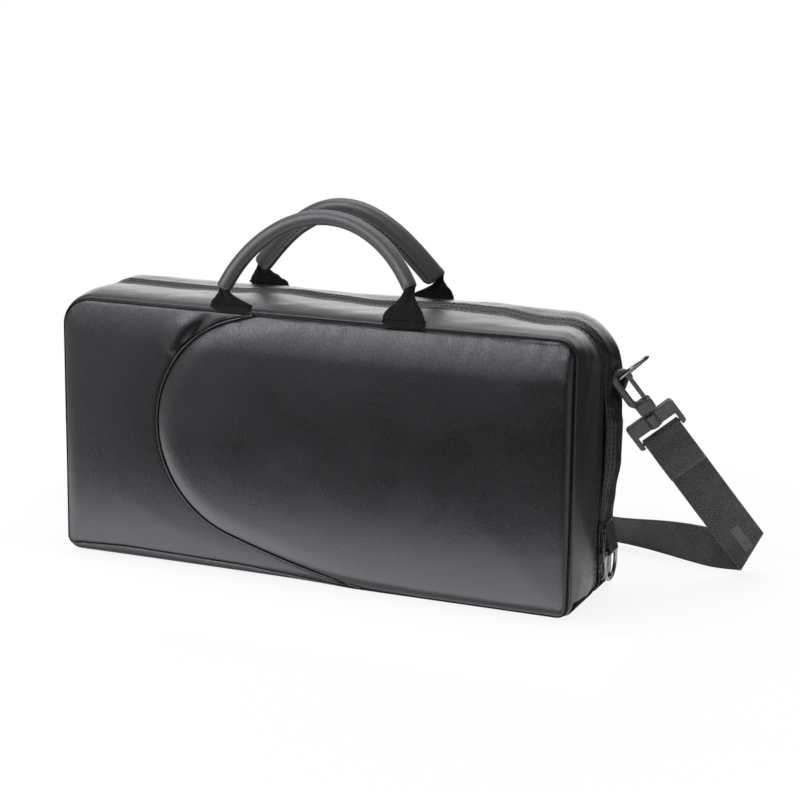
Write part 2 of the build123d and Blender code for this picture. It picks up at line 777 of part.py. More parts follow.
wrap_radius = bar_size / 2 + wrap_clear + strap_thickness / 2
bar_middle = eye_centre - strap_down * bar_y
heading = Vector(1, 0, 0).rotate(Axis.Z, floor_heading)
floor_crease = strap_face.cross(strap_down - heading).normalized()
if floor_crease.dot(strap_across) < 0:
    floor_crease = -floor_crease
crease_angle = degrees(acos(floor_crease.dot(strap_down)))
flat_in = (strap_down - floor_crease * floor_crease.dot(strap_down)).normalized()
flat_out = (heading - floor_crease * floor_crease.dot(heading)).normalized()
fold_angle = -degrees(acos(flat_in.dot(flat_out)))

# The fold's own drop, found on a trial band, sets how far the strap runs down to stand on the floor.
trial = Band(Vector(0, 0, 0), strap_down, strap_across)
trial.fold(fold_angle, fold_radius, crease_angle)
strap_start = bar_middle - strap_face * wrap_radius
standing = strap_width / 2 + floor_clear
strap_run = (strap_start.Z + trial.middle.Z - standing) / -strap_down.Z


def strap_half(inner_run, bow_from=None):
    """The rulings from a free end at a hook to the middle of the strap. Its inner layer comes first."""
    half = Band(bar_middle + strap_face * wrap_radius + strap_down * inner_run, -strap_down, strap_across)
    half.mark()
    half.run(inner_run)
    half.fold(180, wrap_radius, steps=8)
    if bow_from is None:
        half.run(strap_run)
    else:
        half.run(bow_from)
        half.bow(strap_run - bow_from - heel_run)
        half.run(heel_run)
    half.fold(fold_angle, fold_radius, crease_angle, steps=10)
    half.leans_after = half.length + lean_from
    half.run(heel_run)
    half.fold(heel_turn, heel_radius, steps=6)
    turn_left = 180 - floor_heading + heel_turn
    long_radius = half.middle.X / sin(radians(turn_left))
    half.fold(-turn_left, long_radius, steps=16)
    return half.rulings


right_rulings = strap_half(sewn_run, bow_from=sewn_run + 4)
left_rulings = mirrored(strap_half(doubled_run))

with BuildPart() as strap:
    band_solid(right_rulings + left_rulings[1:])
save(strap.part, "strap")

# ---- Strap adjuster round the doubled webbing below the left hook ----
layer_gap = 2 * wrap_radius - strap_thickness
glide_height = 2 * (wrap_radius + strap_thickness / 2 + glide_clear + glide_wall)
glide_origin = bar_middle + strap_down * (doubled_run - glide_length)
glide_plane = Plane(origin=glide_origin, x_dir=strap_across, z_dir=strap_face)

with BuildPart() as glide:
    with BuildSketch(glide_plane):
        RectangleRounded(glide_width, glide_length, 2.0)
        for side in (-1, 1):
            with Locations((0, side * (glide_window / 2 + 1.5))):
                Rectangle(strap_width, glide_window, mode=Mode.SUBTRACT)
    extrude(amount=glide_height / 2, both=True)
    with BuildSketch(glide_plane):
        Rectangle(strap_width + 2 * glide_clear, glide_length + 1)
    extrude(amount=glide_height / 2 - glide_wall, both=True, mode=Mode.SUBTRACT)
    with BuildSketch(glide_plane):
        Rectangle(glide_width, 3.0)
    extrude(amount=layer_gap / 2 - glide_clear, both=True)
save(mirror(glide.part, about=Plane.YZ), "strap_adjuster")
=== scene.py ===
"""The looks of a zip-closed leatherette clarinet case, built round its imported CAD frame.

Sizes in this file are in millimetres and are turned into metres when a mesh is made.
"""

import math

import bmesh
import bpy
import numpy as np
from mathutils import Matrix, Vector
from mathutils.geometry import delaunay_2d_cdt


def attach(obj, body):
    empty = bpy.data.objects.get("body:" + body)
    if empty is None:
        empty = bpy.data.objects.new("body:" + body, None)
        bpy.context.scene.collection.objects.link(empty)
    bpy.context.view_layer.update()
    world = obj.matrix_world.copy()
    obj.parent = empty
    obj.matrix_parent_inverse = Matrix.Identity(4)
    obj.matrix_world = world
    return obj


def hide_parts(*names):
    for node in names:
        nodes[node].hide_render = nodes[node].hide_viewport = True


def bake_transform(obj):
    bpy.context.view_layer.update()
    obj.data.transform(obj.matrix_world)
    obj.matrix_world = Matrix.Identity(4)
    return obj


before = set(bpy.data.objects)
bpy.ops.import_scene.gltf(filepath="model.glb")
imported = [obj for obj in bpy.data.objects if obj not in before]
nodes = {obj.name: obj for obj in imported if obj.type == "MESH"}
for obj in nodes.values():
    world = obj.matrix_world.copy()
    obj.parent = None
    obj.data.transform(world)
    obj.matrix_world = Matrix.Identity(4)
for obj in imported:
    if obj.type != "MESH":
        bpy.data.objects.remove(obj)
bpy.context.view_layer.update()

# ---- Sizes that the frame was made from ----
LENGTH, HEIGHT = 396.0, 196.0
FRONT, ZIP, BACK = -47.0, 10.0, 47.0
END = LENGTH / 2
LIP = 4.0
TOP_LEFT, TOP_RIGHT = (25.0, 21.0), (15.0, 37.0)  # radii of the top corners at the front and back seams
BOTTOM = 11.0  # radius of the bottom corners
CREASE = 4.6  # from the case's outline in to the top seam between gusset and panel
ENDS = {"left": -1, "right": 1}  # each end's side along x
MAP_UNIT = 10.0  # millimetres in one unit of a piece's map


def unit(v):
    v = np.asarray(v, float)
    return v / np.maximum(np.linalg.norm(v, axis=-1, keepdims=True), 1e-12)


def clamp(v):
    return np.clip(v, 0, 1)


def ease(t):
    """From 0 to 1 with a level start and end."""
    return t * t * (3 - 2 * t)


def bell(far, wide):
    return np.exp(-((far / wide) ** 2))


def flat(points):
    """The x and z of each point."""
    return points[:, [0, 2]]


def beside(run, across):
    """A row of a piece's map: how far along each of its points is, and how far across they all are."""
    return np.stack([run, np.full(len(run), across)], 1)


def place(piece, body, slot, *replaced):
    """Says which body a piece rides on and which nodes it replaces. slot is not used."""
    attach(piece, body)
    if replaced:
        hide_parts(*replaced)
    return piece


# ---- Meshes ----
def make(name, points, faces, material, uv=None, smooth=True):
    """A mesh object from points in millimetres, with one (u, v) in millimetres for each point."""
    mesh = bpy.data.meshes.new(name)
    mesh.from_pydata((np.asarray(points, float) / 1000).tolist(), [], faces)
    if uv is not None:
        layer = mesh.uv_layers.new(name="Lay")
        at = np.zeros(len(mesh.loops), int)
        mesh.loops.foreach_get("vertex_index", at)
        layer.uv.foreach_set("vector", np.asarray(uv, np.float32)[at].ravel() / MAP_UNIT)
    mesh.materials.append(material)
    if smooth:
        mesh.shade_smooth()
    mesh.update()
    piece = bpy.data.objects.new(name, mesh)
    bpy.context.scene.collection.objects.link(piece)
    return piece


def lattice(rows, closed_u=False, closed_v=False, flip=False):
    """Faces for a grid of points numbered row by row. rows is (number of rows, points in a row)."""
    n, m = rows
    i = np.arange(n if closed_u else n - 1)[:, None]
    j = np.arange(m if closed_v else m - 1)[None, :]
    a, b = i * m + j, i * m + (j + 1) % m
    c, d = ((i + 1) % n) * m + (j + 1) % m, ((i + 1) % n) * m + j
    quads = np.stack([a, b, c, d], -1).reshape(-1, 4)
    return quads[:, ::-1].tolist() if flip else quads.tolist()


def surface(name, grid, material, uv, **how):
    """A mesh from a grid of points of shape (rows, points in a row, 3)."""
    return make(name, grid.reshape(-1, 3), lattice(grid.shape[:2], **how), material, uv.reshape(-1, 2))


def capped(rings, points_in_ring):
    """Faces for a tube of rings, closed at its first and last one."""
    first = list(range(points_in_ring))
    last = [(rings - 1) * points_in_ring + k for k in first]
    return lattice((rings, points_in_ring), closed_v=True) + [first[::-1], last]


def tidy_normals(piece):
    shape = bmesh.new()
    shape.from_mesh(piece.data)
    bmesh.ops.recalc_face_normals(shape, faces=shape.faces)
    shape.to_mesh(piece.data)
    shape.free()
    return piece


def tube(name, rings, uvs, material):
    """A closed piece from rings of points with their map."""
    rings = np.array(rings)
    faces = capped(*rings.shape[:2])
    return tidy_normals(make(name, rings.reshape(-1, 3), faces, material, np.array(uvs).reshape(-1, 2)))


def lengths(path):
    steps = np.linalg.norm(np.diff(path, axis=0), axis=1)
    return np.concatenate([[0], np.cumsum(steps)])


def even(path, gap=None, count=None):
    """The path's points again, evenly spaced."""
    at = lengths(path)
    count = count or max(2, int(round(at[-1] / gap)) + 1)
    new = np.linspace(0, at[-1], count)
    return np.stack([np.interp(new, at, path[:, k]) for k in range(path.shape[1])], 1)


# ---- Noise that is smooth along one or two lengths, the same each run ----
def wander(at, scale, seed, octaves=3):
    """Smooth noise of about -1 to 1 over a length in millimetres, or over pairs of lengths."""
    at = np.atleast_2d(np.asarray(at, float).T).T
    maker = np.random.default_rng(seed)
    total = np.zeros(len(at))
    weight = 1.0
    for octave in range(octaves):
        waves = maker.normal(size=(9, at.shape[1])) * 2.2 * 2**octave / scale
        shift = maker.uniform(0, 2 * math.pi, 9)
        total += weight * np.sin(at @ waves.T + shift).sum(1) / 4.5
        weight *= 0.5
    return total / 1.75


# ---- The case's outline ----
def outline(y, inset, closed=True):
    """Points (x, y, z), outward normals and arc lengths round the case at y, set in by a depth.
    It starts at the left end of the flat bottom and runs up the left end and over the top."""
    share = (y - FRONT) / (BACK - FRONT)
    left, right = (max(a + (b - a) * share - inset, 1.2) for a, b in (TOP_LEFT, TOP_RIGHT))
    lower = max(BOTTOM - inset, 1.2)
    half, low, high = END - inset, inset, HEIGHT - inset
    parts, turns = [], []

    def arc(cx, cz, radius, start, stop, count):
        a = np.radians(np.linspace(start, stop, count, endpoint=False))
        parts.append(np.stack([cx + radius * np.cos(a), cz + radius * np.sin(a)], 1))
        turns.append(np.stack([np.cos(a), np.sin(a)], 1))

    def line(a, b, normal, count):
        t = np.linspace(0, 1, count, endpoint=False)[:, None]
        parts.append(np.asarray(a) * (1 - t) + np.asarray(b) * t)
        turns.append(np.tile(np.asarray(normal, float), (count, 1)))

    arc(-half + lower, low + lower, lower, 270, 180, 10)
    line((-half, low + lower), (-half, high - left), (-1, 0), 90)
    arc(-half + left, high - left, left, 180, 90, 26)
    line((-half + left, high), (half - right, high), (0, 1), 230)
    arc(half - right, high - right, right, 90, 0, 26)
    line((half, high - right), (half, low + lower), (1, 0), 90)
    arc(half - lower, low + lower, lower, 0, -90, 10)
    if closed:
        line((half - lower, low), (-half + lower, low), (0, -1), 140)
    else:
        parts.append(np.array([[half - lower, low]]))
        turns.append(np.array([[0.0, -1.0]]))
    points = np.insert(np.concatenate(parts), 1, y, axis=1)
    normals = np.insert(np.concatenate(turns), 1, 0, axis=1)
    run = lengths(np.vstack([points, points[:1]]) if closed else points)
    return points, normals, run


def crease_depth(points, normals):
    """How far in from the outline a panel's seam lies: deepest below the left end, then along the top."""
    top, right, low = (clamp(v) ** 2 for v in (normals[:, 2], normals[:, 0], -normals[:, 2]))
    below = np.interp(points[:, 0], [-190, -150, -50, 0, 35], [5.6, 7.6, 5.8, 2.6, -0.5])
    highest = np.interp(points[:, 0], [60, 165], [CREASE - 1.7, 1.2])
    return 1.7 + highest * top + 1.3 * right + below * low


def crease_loop(y, more=0.0):
    """The seam between a gusset and its panel as a closed run of evenly spaced points."""
    points, normals, _ = outline(y, 0.0)
    path = points - normals * (crease_depth(points, normals) + more)[:, None]
    return even(np.vstack([path, path[:1]]), gap=1.2)[:-1]


def warped_outline(y, depth, warp, closed=False):
    """The outline at y and depth, shifted by what warp(run, y, depth) gives, with its normals and run."""
    points, normals, run = outline(y, 0.0, closed)
    run = run[: len(points)]
    shift_y, shift_depth = warp(run, y, depth)
    points = points - normals * (depth + shift_depth)[:, None]
    points[:, 1] += shift_y
    return points, normals, run


def band(name, section, material, warp):
    """A skin round the whole outline. section is a list of (y, depth) from one edge to the other and back."""
    rings, uvs, across = [], [], 0.0
    for before, here in zip([section[0], *section], section):
        points, _, run = warped_outline(*here, warp, closed=True)
        across += math.dist(before, here)
        rings.append(points)
        uvs.append(beside(run, across))
    return surface(name, np.stack(rings), material, np.stack(uvs), closed_v=True, flip=True)


# ---- Materials ----
class Value:
    """A node's output. What is worked out from it is a new node of the same material."""

    def __init__(self, paint, socket):
        self.paint, self.socket = paint, socket

    def __add__(self, other):
        return self.paint.maths("ADD", self, other)

    def __sub__(self, other):
        return self.paint.maths("SUBTRACT", self, other)

    def __rsub__(self, other):
        return self.paint.maths("SUBTRACT", other, self)

    def __mul__(self, other):
        return self.paint.maths("MULTIPLY", self, other)

    def __abs__(self):
        return self.paint.maths("ABSOLUTE", self)

    def ramp(self, low, high, to_low=0.0, to_high=1.0):
        put = {"Value": self, "From Min": low, "From Max": high, "To Min": to_low, "To Max": to_high}
        return self.paint.node("MapRange", put=put, clamp=True)


class Paint:
    """A material or world being built. Nodes are added by kind, with sockets set by value or by an output."""

    def __init__(self, name, kind="materials"):
        self.made = getattr(bpy.data, kind).new(name)
        self.made.use_nodes = True
        self.tree = self.made.node_tree
        self.tree.nodes.clear()
        self.x = 0

    def node(self, kind, out=0, put=None, **settings):
        made = self.tree.nodes.new("ShaderNode" + kind)
        made.location = (self.x, 0)
        self.x += 180
        for key, value in settings.items():
            setattr(made, key, value)
        for socket, value in (put or {}).items():
            if isinstance(value, Value):
                self.tree.links.new(value.socket, made.inputs[socket])
            else:
                made.inputs[socket].default_value = value
        return Value(self, made.outputs[out]) if made.outputs else None

    def maths(self, operation, a, b=0.0, clamp=False):
        return self.node("Math", put={0: a, 1: b, 2: 0.0}, operation=operation, use_clamp=clamp)

    def mix(self, share, a, b):
        return self.node("Mix", out=2, put={0: share, 6: a, 7: b}, data_type="RGBA")

    def where(self):
        return self.node("TexCoord", out="Object")

    def ray(self, kind):
        return self.node("LightPath", out=f"Is {kind} Ray")

    def noise(self, where, scale, detail=3.0, roughness=0.55, distortion=0.0):
        put = {"Vector": where, "Scale": scale, "Detail": detail}
        return self.node("TexNoise", put=put | {"Roughness": roughness, "Distortion": distortion})

    def cells(self, where, scale, feature):
        return self.node("TexVoronoi", put={"Vector": where, "Scale": scale}, feature=feature)

    def bump(self, height, strength, distance):
        return self.node("Bump", put={"Height": height, "Strength": strength, "Distance": distance})

    def finish(self, **sockets):
        put = {name.replace("_", " "): value for name, value in sockets.items()}
        self.node("OutputMaterial", put={"Surface": self.node("BsdfPrincipled", put=put)})
        return self.made


def grey(level, warmth=0.0):
    return (level * (1 + warmth), level, level * (1 - warmth), 1.0)


def leather(name, level, rough, crease, grain=900.0, depth=0.00007):
    """Embossed leatherette: pebbles with fine lines between them, faint creases and worn, polished edges."""
    p = Paint(name)
    at = p.where()
    pebbles = p.cells(at, grain, "SMOOTH_F1")
    lines = p.cells(at, grain * 0.55, "DISTANCE_TO_EDGE")
    fine = p.noise(at, grain * 2.4, 4.0)
    broad = p.noise(at, 22.0, 3.0)
    folds = p.noise(at, 130.0, 5.0, 0.6, 1.6)
    drawn = p.node("Mapping", put={"Vector": at, "Scale": (1.7, 1.0, 0.6)})
    wrinkles = abs(p.noise(drawn, 330.0, 5.0, 0.6, 0.9) - 0.5)
    height = pebbles * 0.55 + lines.ramp(0.0, 0.12) * 0.5 + fine * 0.25 + folds * (crease * 1.6)
    height = height + wrinkles.ramp(0.0, 0.14, 0.0, crease * 1.9)
    worn = p.node("NewGeometry", out="Pointiness").ramp(0.51, 0.62)
    colour = p.mix(broad.ramp(0.3, 0.7), grey(level * 0.86, 0.01), grey(level * 1.16, -0.02))
    colour = p.mix(lines.ramp(0.0, 0.08) * 0.5, grey(level * 0.7), colour)
    colour = p.mix(worn * 0.35, colour, grey(level * 2.2))
    gloss = fine.ramp(0.3, 0.7, rough - 0.05, rough + 0.06) + broad.ramp(0.3, 0.7, -0.03, 0.03) - worn * 0.06
    return p.finish(
        Base_Color=colour, Roughness=gloss, Normal=p.bump(height, 0.6, depth), Sheen_Weight=0.03,
        Sheen_Roughness=0.45, Specular_IOR_Level=0.5, Specular_Tint=(0.91, 0.91, 1.0, 1.0),
    )


def weave(
    name, level, pitch, across, depth=0.0003, rough=0.72, sheen=0.25, light=2.1, gloss=0.3, block=None,
):
    """Woven webbing or tape, its threads drawn over the piece's own map, with a painted highlight on each
    thread's crown and painted shade in the hollows between them; light sets how pale the crowns are. A block
    is a bar of paler threads, given by where it starts and stops along the piece and by its half-width."""
    p = Paint(name)
    lay = p.node("UVMap", uv_map="Lay")
    u, v = (p.node("SeparateXYZ", out=k, put={0: lay}) for k in (0, 1))
    over = v * (MAP_UNIT / across)
    turn = (u * (MAP_UNIT / pitch) + p.maths("FLOOR", over) * 0.5) * (2 * math.pi)
    hump = abs(p.maths("SINE", turn * 0.5))
    thread = 1.0 - p.maths("POWER", abs((p.maths("FRACT", over) - 0.5) * 2.0), 2.0)
    at = p.where()
    fuzz = p.noise(at, 5200.0, 2.0)
    broad = p.noise(at, 60.0, 3.0)
    height = hump * thread + fuzz * 0.35
    # Painted highlight and shade: paler on the threads' crowns, darker in their hollows, plus a broad random
    # tone.
    tone = height.ramp(0.15, 1.1, 0.0, 0.8) + broad.ramp(0.3, 0.7, -0.08, 0.2)
    colour = p.mix(tone, grey(level * 0.35), grey(level * light, -0.02))
    if block:
        start, stop, half = (value / MAP_UNIT for value in block)
        first, last = p.maths("GREATER_THAN", u, start), p.maths("LESS_THAN", u, stop)
        inside = p.maths("LESS_THAN", abs(v), half)
        colour = p.mix(first * last * inside * height.ramp(0.1, 0.9, 0.25, 1.0), colour, grey(0.19))
    return p.finish(
        Base_Color=colour, Roughness=fuzz.ramp(0.3, 0.7, rough - 0.08, rough + 0.1),
        Normal=p.bump(height, 0.8, depth), Sheen_Weight=sheen, Sheen_Roughness=0.5, Specular_IOR_Level=gloss,
    )


def plush(name, level):
    """Short-pile lining that shades with the way the pile was stroked."""
    p = Paint(name)
    at = p.where()
    pile = p.noise(at, 2600.0, 3.0, 0.7)
    stroke = p.noise(at, 24.0, 4.0, 0.6, 1.5)
    colour = p.mix(stroke.ramp(0.35, 0.65), grey(level * 0.72), grey(level * 1.35))
    colour = p.mix(pile.ramp(0.35, 0.7, 0.0, 0.5), colour, grey(level * 0.4))
    return p.finish(
        Base_Color=colour, Roughness=0.95, Normal=p.bump(pile + stroke * 0.6, 0.7, 0.0005),
        Sheen_Weight=0.6, Sheen_Roughness=0.35, Specular_IOR_Level=0.15,
    )


def metal(name, level, rough):
    """Plated metal with fine scratches and cloudy patches that are paler and a little duller."""
    p = Paint(name)
    at = p.where()
    scratch = p.noise(at, 1800.0, 2.0, 0.6, 3.0)
    cloud = p.noise(at, 160.0, 3.0)
    colour = p.mix(cloud.ramp(0.35, 0.65), grey(level * 0.8), grey(level * 1.15))
    gloss = scratch.ramp(0.4, 0.7, rough - 0.06, rough + 0.12) + cloud.ramp(0.3, 0.7, 0.0, 0.06)
    return p.finish(Base_Color=colour, Metallic=1.0, Roughness=gloss, Normal=p.bump(scratch, 0.15, 0.00002))


def plastic(name, level, rough):
    """Moulded plastic with a faint spark-eroded texture."""
    p = Paint(name)
    at = p.where()
    grain = p.noise(at, 3600.0, 3.0)
    cloud = p.noise(at, 120.0, 3.0)
    colour = p.mix(cloud.ramp(0.35, 0.65), grey(level * 0.85), grey(level * 1.2))
    gloss = grain.ramp(0.3, 0.7, rough - 0.05, rough + 0.09)
    normal = p.bump(grain, 0.25, 0.00003)
    return p.finish(Base_Color=colour, Roughness=gloss, Normal=normal, Specular_IOR_Level=0.45)


def thread_paint(name, level):
    """Sewing thread with a fine twist."""
    p = Paint(name)
    twist = p.node("TexWave", put={"Vector": p.where(), "Scale": 900.0, "Distortion": 2.0, "Detail": 1.0})
    colour = p.mix(twist.ramp(0.2, 0.8), grey(level * 0.6), grey(level * 1.4))
    normal = p.bump(twist, 0.4, 0.00008)
    return p.finish(Base_Color=colour, Roughness=0.75, Normal=normal, Specular_IOR_Level=0.12)


skin = leather("leatherette", 0.006, rough=0.315, crease=0.62)
# The piping's leather is darker and more matte than the panels, so that the crease reads as a deep shadow:
# partly painted shade.
bead_skin_painted_shade = leather("piping", 0.004, grain=1400.0, rough=0.6, crease=0.2)
# A copy of the leatherette five times paler, so that the curved seam's bead shows as a bright line: a painted
# highlight.
highlight_edge_skin = leather("seam_edge_painted_highlight", 0.03, grain=1400.0, rough=0.26, crease=0.1)
grip_skin = leather("handle_leather", 0.07, grain=1500.0, depth=0.00004, rough=0.42, crease=0.3)
tab_skin = leather("tab_leather", 0.03, grain=1200.0, rough=0.4, crease=0.25)
webbing = weave("webbing", 0.064, pitch=1.9, across=1.25, block=(139.0, 163.0, 3.4))
handle_web = weave(
    "handle_webbing", 0.0065, pitch=2.1, across=1.5, depth=0.0005, rough=0.8, sheen=0.03, light=2.6,
    gloss=0.12,
)
tape_cloth = weave(
    "zip_tape", 0.007, pitch=0.9, across=0.7, depth=0.00015, rough=0.85, light=1.9, sheen=0.0, gloss=0.08,
)
ribbon_cloth = weave("ribbon", 0.012, pitch=0.7, across=0.6, depth=0.00012)
lining_cloth = plush("plush", 0.03)
board_cloth = plush("foam_board", 0.05)
coil_plastic = plastic("zip_coil", 0.008, 0.42)
hook_plastic = plastic("black_plastic", 0.085, 0.3)
zip_metal = metal("zip_metal", 0.05, 0.3)
ring_metal = metal("ring_metal", 0.3, 0.24)
dark_thread = thread_paint("dark_thread", 0.004)


# ---- Rows of small rounded pieces: stitches and zip teeth ----
def pills(name, middles, ways, ups, material, length, wide, high, sink=0.1, arch=0.9):
    """One mesh of many small rounded bars, each lying along its way, arched up, with its ends sunk in."""
    middles, ways, ups = (np.asarray(v, float) for v in (middles, unit(ways), unit(ups)))
    sides = np.cross(ways, ups)
    stations = ((-0.5, 0.35), (-0.36, 0.85), (0.0, 1.0), (0.36, 0.85), (0.5, 0.35))  # place and thickness
    corners = 6
    rings = []
    for t, grow in stations:
        lift = high * (1 - (2 * t) ** 2) * arch - sink
        for a in np.arange(corners) * 2 * math.pi / corners:
            off = sides * (math.cos(a) * wide / 2 * grow) + ups * (math.sin(a) * high / 2 * grow + lift)
            rings.append(middles + ways * (t * length) + off)
    each = len(stations) * corners
    one = lattice((len(stations), corners), closed_v=True)
    faces = [[corner + each * k for corner in face] for k in range(len(middles)) for face in one]
    for k in range(len(middles)):
        faces.append([each * k + a for a in range(corners)][::-1])
        faces.append([each * (k + 1) - corners + a for a in range(corners)])
    return make(name, np.stack(rings, 1).reshape(-1, 3), faces, material)


def along_rows(rows, pitch):
    """Evenly spaced middles, ways and normals along each (path, normals)."""
    found = []
    for path, normals in rows:
        at = lengths(path)
        count = max(int(at[-1] / pitch), 1)
        middle = (np.arange(count) + 0.5) * at[-1] / count

        def read(values, where):
            return np.stack([np.interp(where, at, values[:, j]) for j in range(3)], 1)

        way = read(path, middle + pitch * 0.3) - read(path, middle - pitch * 0.3)
        found.append((read(path, middle), way, read(normals, middle)))
    return [np.concatenate(part) for part in zip(*found)]


def stitches(name, rows, length=2.5, gap=1.3, wide=0.8, high=0.32):
    """rows is a list of (path, normals) on the surface that is sewn."""
    return pills(name, *along_rows(rows, length + gap), dark_thread, length, wide, high)


# ---- Gussets, their lips and stitching ----
OPEN_RUN = outline(0, 0, False)[2][-1]  # the length of the ends and the top together


def on_wall(run):
    """1 on the ends and the top, fading to 0 on the flat bottom."""
    edge = np.minimum(run, OPEN_RUN - run)
    return clamp((edge - 6) / 20)


# Where the closed zip strays from a straight line: (x, z), its shift in y, and how far it stands proud.
DRIFT = (
    (-198, 20, 0.0, 0.0), (-198, 60, 0.8, 0.4), (-198, 110, -0.9, 0.5), (-198, 150, 0.9, 0.4),
    (-181, 196, -1.6, -0.4), (-131, 196, -1.8, -0.9), (-86, 196, -0.9, -0.4), (-47, 196, 2.9, 1.5),
    (-8, 196, 0.6, 0.4), (32, 196, -2.0, -1.1), (81, 196, 1.2, 0.7), (119, 196, -0.6, 0.6),
    (158, 196, -5.4, -2.2), (187, 185, -4.2, -1.4), (198, 162, -0.5, 0.0), (198, 146, 0.0, 0.0),
    (198, 130, 0.0, 0.0), (198, 91, 0.4, 0.2), (198, 64, 0.2, 0.1), (198, 56, 0.0, 0.0), (198, 14, 0.0, 0.0),
)

# Where the tray's gusset swells: (x, z), over its whole width, and only beside its back seam.
BULGE = (
    (-198, 20, 0.0, 0.0), (0, 196, 0.0, 0.0), (60, 196, 1.4, 0.0), (110, 196, 2.6, 0.0), (161, 196, 1.2, 0.0),
    (187, 185, 1.6, 0.0), (194, 174, 1.6, 1.4), (198, 163, 0.0, 4.2), (198, 146, 0.0, 4.2),
    (198, 137, 4.0, 1.5), (198, 126, 6.8, 0.0), (198, 98, 6.8, 0.0), (198, 72, 2.4, 0.0), (198, 54, 0.0, 0.0),
    (198, 14, 0.0, 0.0),
)


def along_outline(table):
    """A table's last two columns as smooth values for each point of the open outline."""
    points, _, run = outline(ZIP, 0.0, False)
    at = np.array([run[np.linalg.norm(flat(points) - row[:2], axis=1).argmin()] for row in table])
    k = np.clip(np.searchsorted(at, run, side="right") - 1, 0, len(at) - 2)
    t = clamp((run - at[k]) / (at[k + 1] - at[k]))
    columns = np.array(table).T[2:]
    return [value[k] + (value[k + 1] - value[k]) * ease(t) for value in columns]


DRIFT_Y, DRIFT_OUT = along_outline(DRIFT)
BULGE_WIDE, BULGE_EDGE = along_outline(BULGE)


def fitted(values, run):
    """A value for each point of the open outline, with zeros for the rest of the closed one."""
    return np.concatenate([values, np.zeros(max(len(run) - len(values), 0))])[: len(run)]


def gusset_warp(run, y, depth, seam, lip, seed):
    """The shift in y and in depth of a gusset's point: slack between its seams, drawn about along the zip."""
    share = clamp((y - seam) / (lip - seam))
    near = share**3 * (4 - 3 * share)
    wall = on_wall(run)
    slack = math.sin(math.pi * share)
    folds = wander(run + y * 2, 62, seed) * 0.7 + wander(run - y * 1.2, 16, seed + 1) * 0.3
    ridge, stands = (0.5, 0.5) if lip < ZIP else (7.5, 0.8)
    welt = stands * bell(abs(y - lip) - ridge, 3.6)
    puckers = wander(run + 0.8 * y, 9, seed + 2) * 0.25 + welt
    drawn = fitted(DRIFT_Y, run) + wander(run, 27, seed + 3) * 0.35
    out = 1.2 * slack - folds * (0.4 + 0.75 * slack) * min(share * 4, 1)
    out = out + (puckers + fitted(DRIFT_OUT, run)) * near
    toward = math.copysign(2.7, lip - ZIP) * near
    points, normals, _ = outline(seam, 0.0, len(run) > len(DRIFT_Y))
    if lip > ZIP:
        out = out + fitted(BULGE_WIDE, run) * slack**0.4
        out = out + fitted(BULGE_EDGE, run) * math.sin(math.pi * min(share / 0.45, 1)) ** 0.6
    closing = clamp(normals[:, 2]) ** 2 + clamp(-normals[:, 0]) ** 2
    drawn = drawn - math.copysign(1.5, lip - ZIP) * closing[: len(run)]
    out = (out + 0.35 * wander(run, 120, seed + 4)) * wall
    if depth > 0 and abs(y - seam) < 6:
        deeper = crease_depth(points, normals) - CREASE
        out = out - deeper * (depth / CREASE) ** np.where(deeper > 0, 2.0, 1.0)
    return drawn * near * wall + toward * (1 - wall), -out


SEWN_ROWS = (2.1, 5.0)  # how far the two rows of stitches lie from a lip


def gusset_section(seam, lip):
    """The skin's profile from the panel's seam, rolled round the case's edge, to the lip and back. Stitch
    lines are pulled in, and the lip's edge is turned."""
    sense = math.copysign(1, lip - seam)
    reach = abs(lip - seam)
    roll = (
        (2.2, CREASE), (1.0, 4.55), (0.1, 4.1), (-0.5, 3.5), (-0.75, 2.8), (-0.5, 2.15), (0.3, 1.6),
        (1.8, 1.15), (4.0, 0.8), (7.0, 0.48), (10.5, 0.22), (14.0, 0.06),
    )
    pulled = ((0.9, -0.02), (0.35, 0.17), (0, 0.24), (-0.35, 0.17), (-0.9, -0.05))
    turned = ((0.7, -0.15), (0.2, 0.05), (0, 0.5), (0.15, 1.0), (0.7, 1.3), (8, 1.36))
    out = [(seam + s * sense, d) for s, d in roll]
    out += [(seam + s * sense, 0.0) for s in np.linspace(16.0, reach - 7.5, int((reach - 22) / 1.8))]
    for row in SEWN_ROWS[::-1]:
        out += [(lip - (row + off) * sense, d) for off, d in pulled]
    out += [(lip - s * sense, d) for s, d in turned]
    return out + [(seam + 3 * sense, 1.5)]


def gusset(body, seam, lip, seed):
    """A half's gusset and bottom with the two rows of stitches beside its lip."""

    def warp(run, y, depth):
        return gusset_warp(run, y, depth, seam, lip, seed)

    piece = band(f"{body}_gusset_skin", gusset_section(seam, lip), skin, warp)
    place(piece, body, "leatherette", f"{body}_gusset", f"{body}_bottom")
    rows = []
    for row in SEWN_ROWS:
        points, normals, run = warped_outline(lip - math.copysign(row, lip - seam), 0.16, warp)
        sewn = (run > 12) & (run < run[-1] - 12)
        rows.append((points[sewn], normals[sewn]))
    place(stitches(f"{body}_gusset_stitches", rows), body, "leatherette")


gusset("lid", FRONT, ZIP - LIP, seed=11)
gusset("tray", BACK, ZIP + LIP, seed=21)


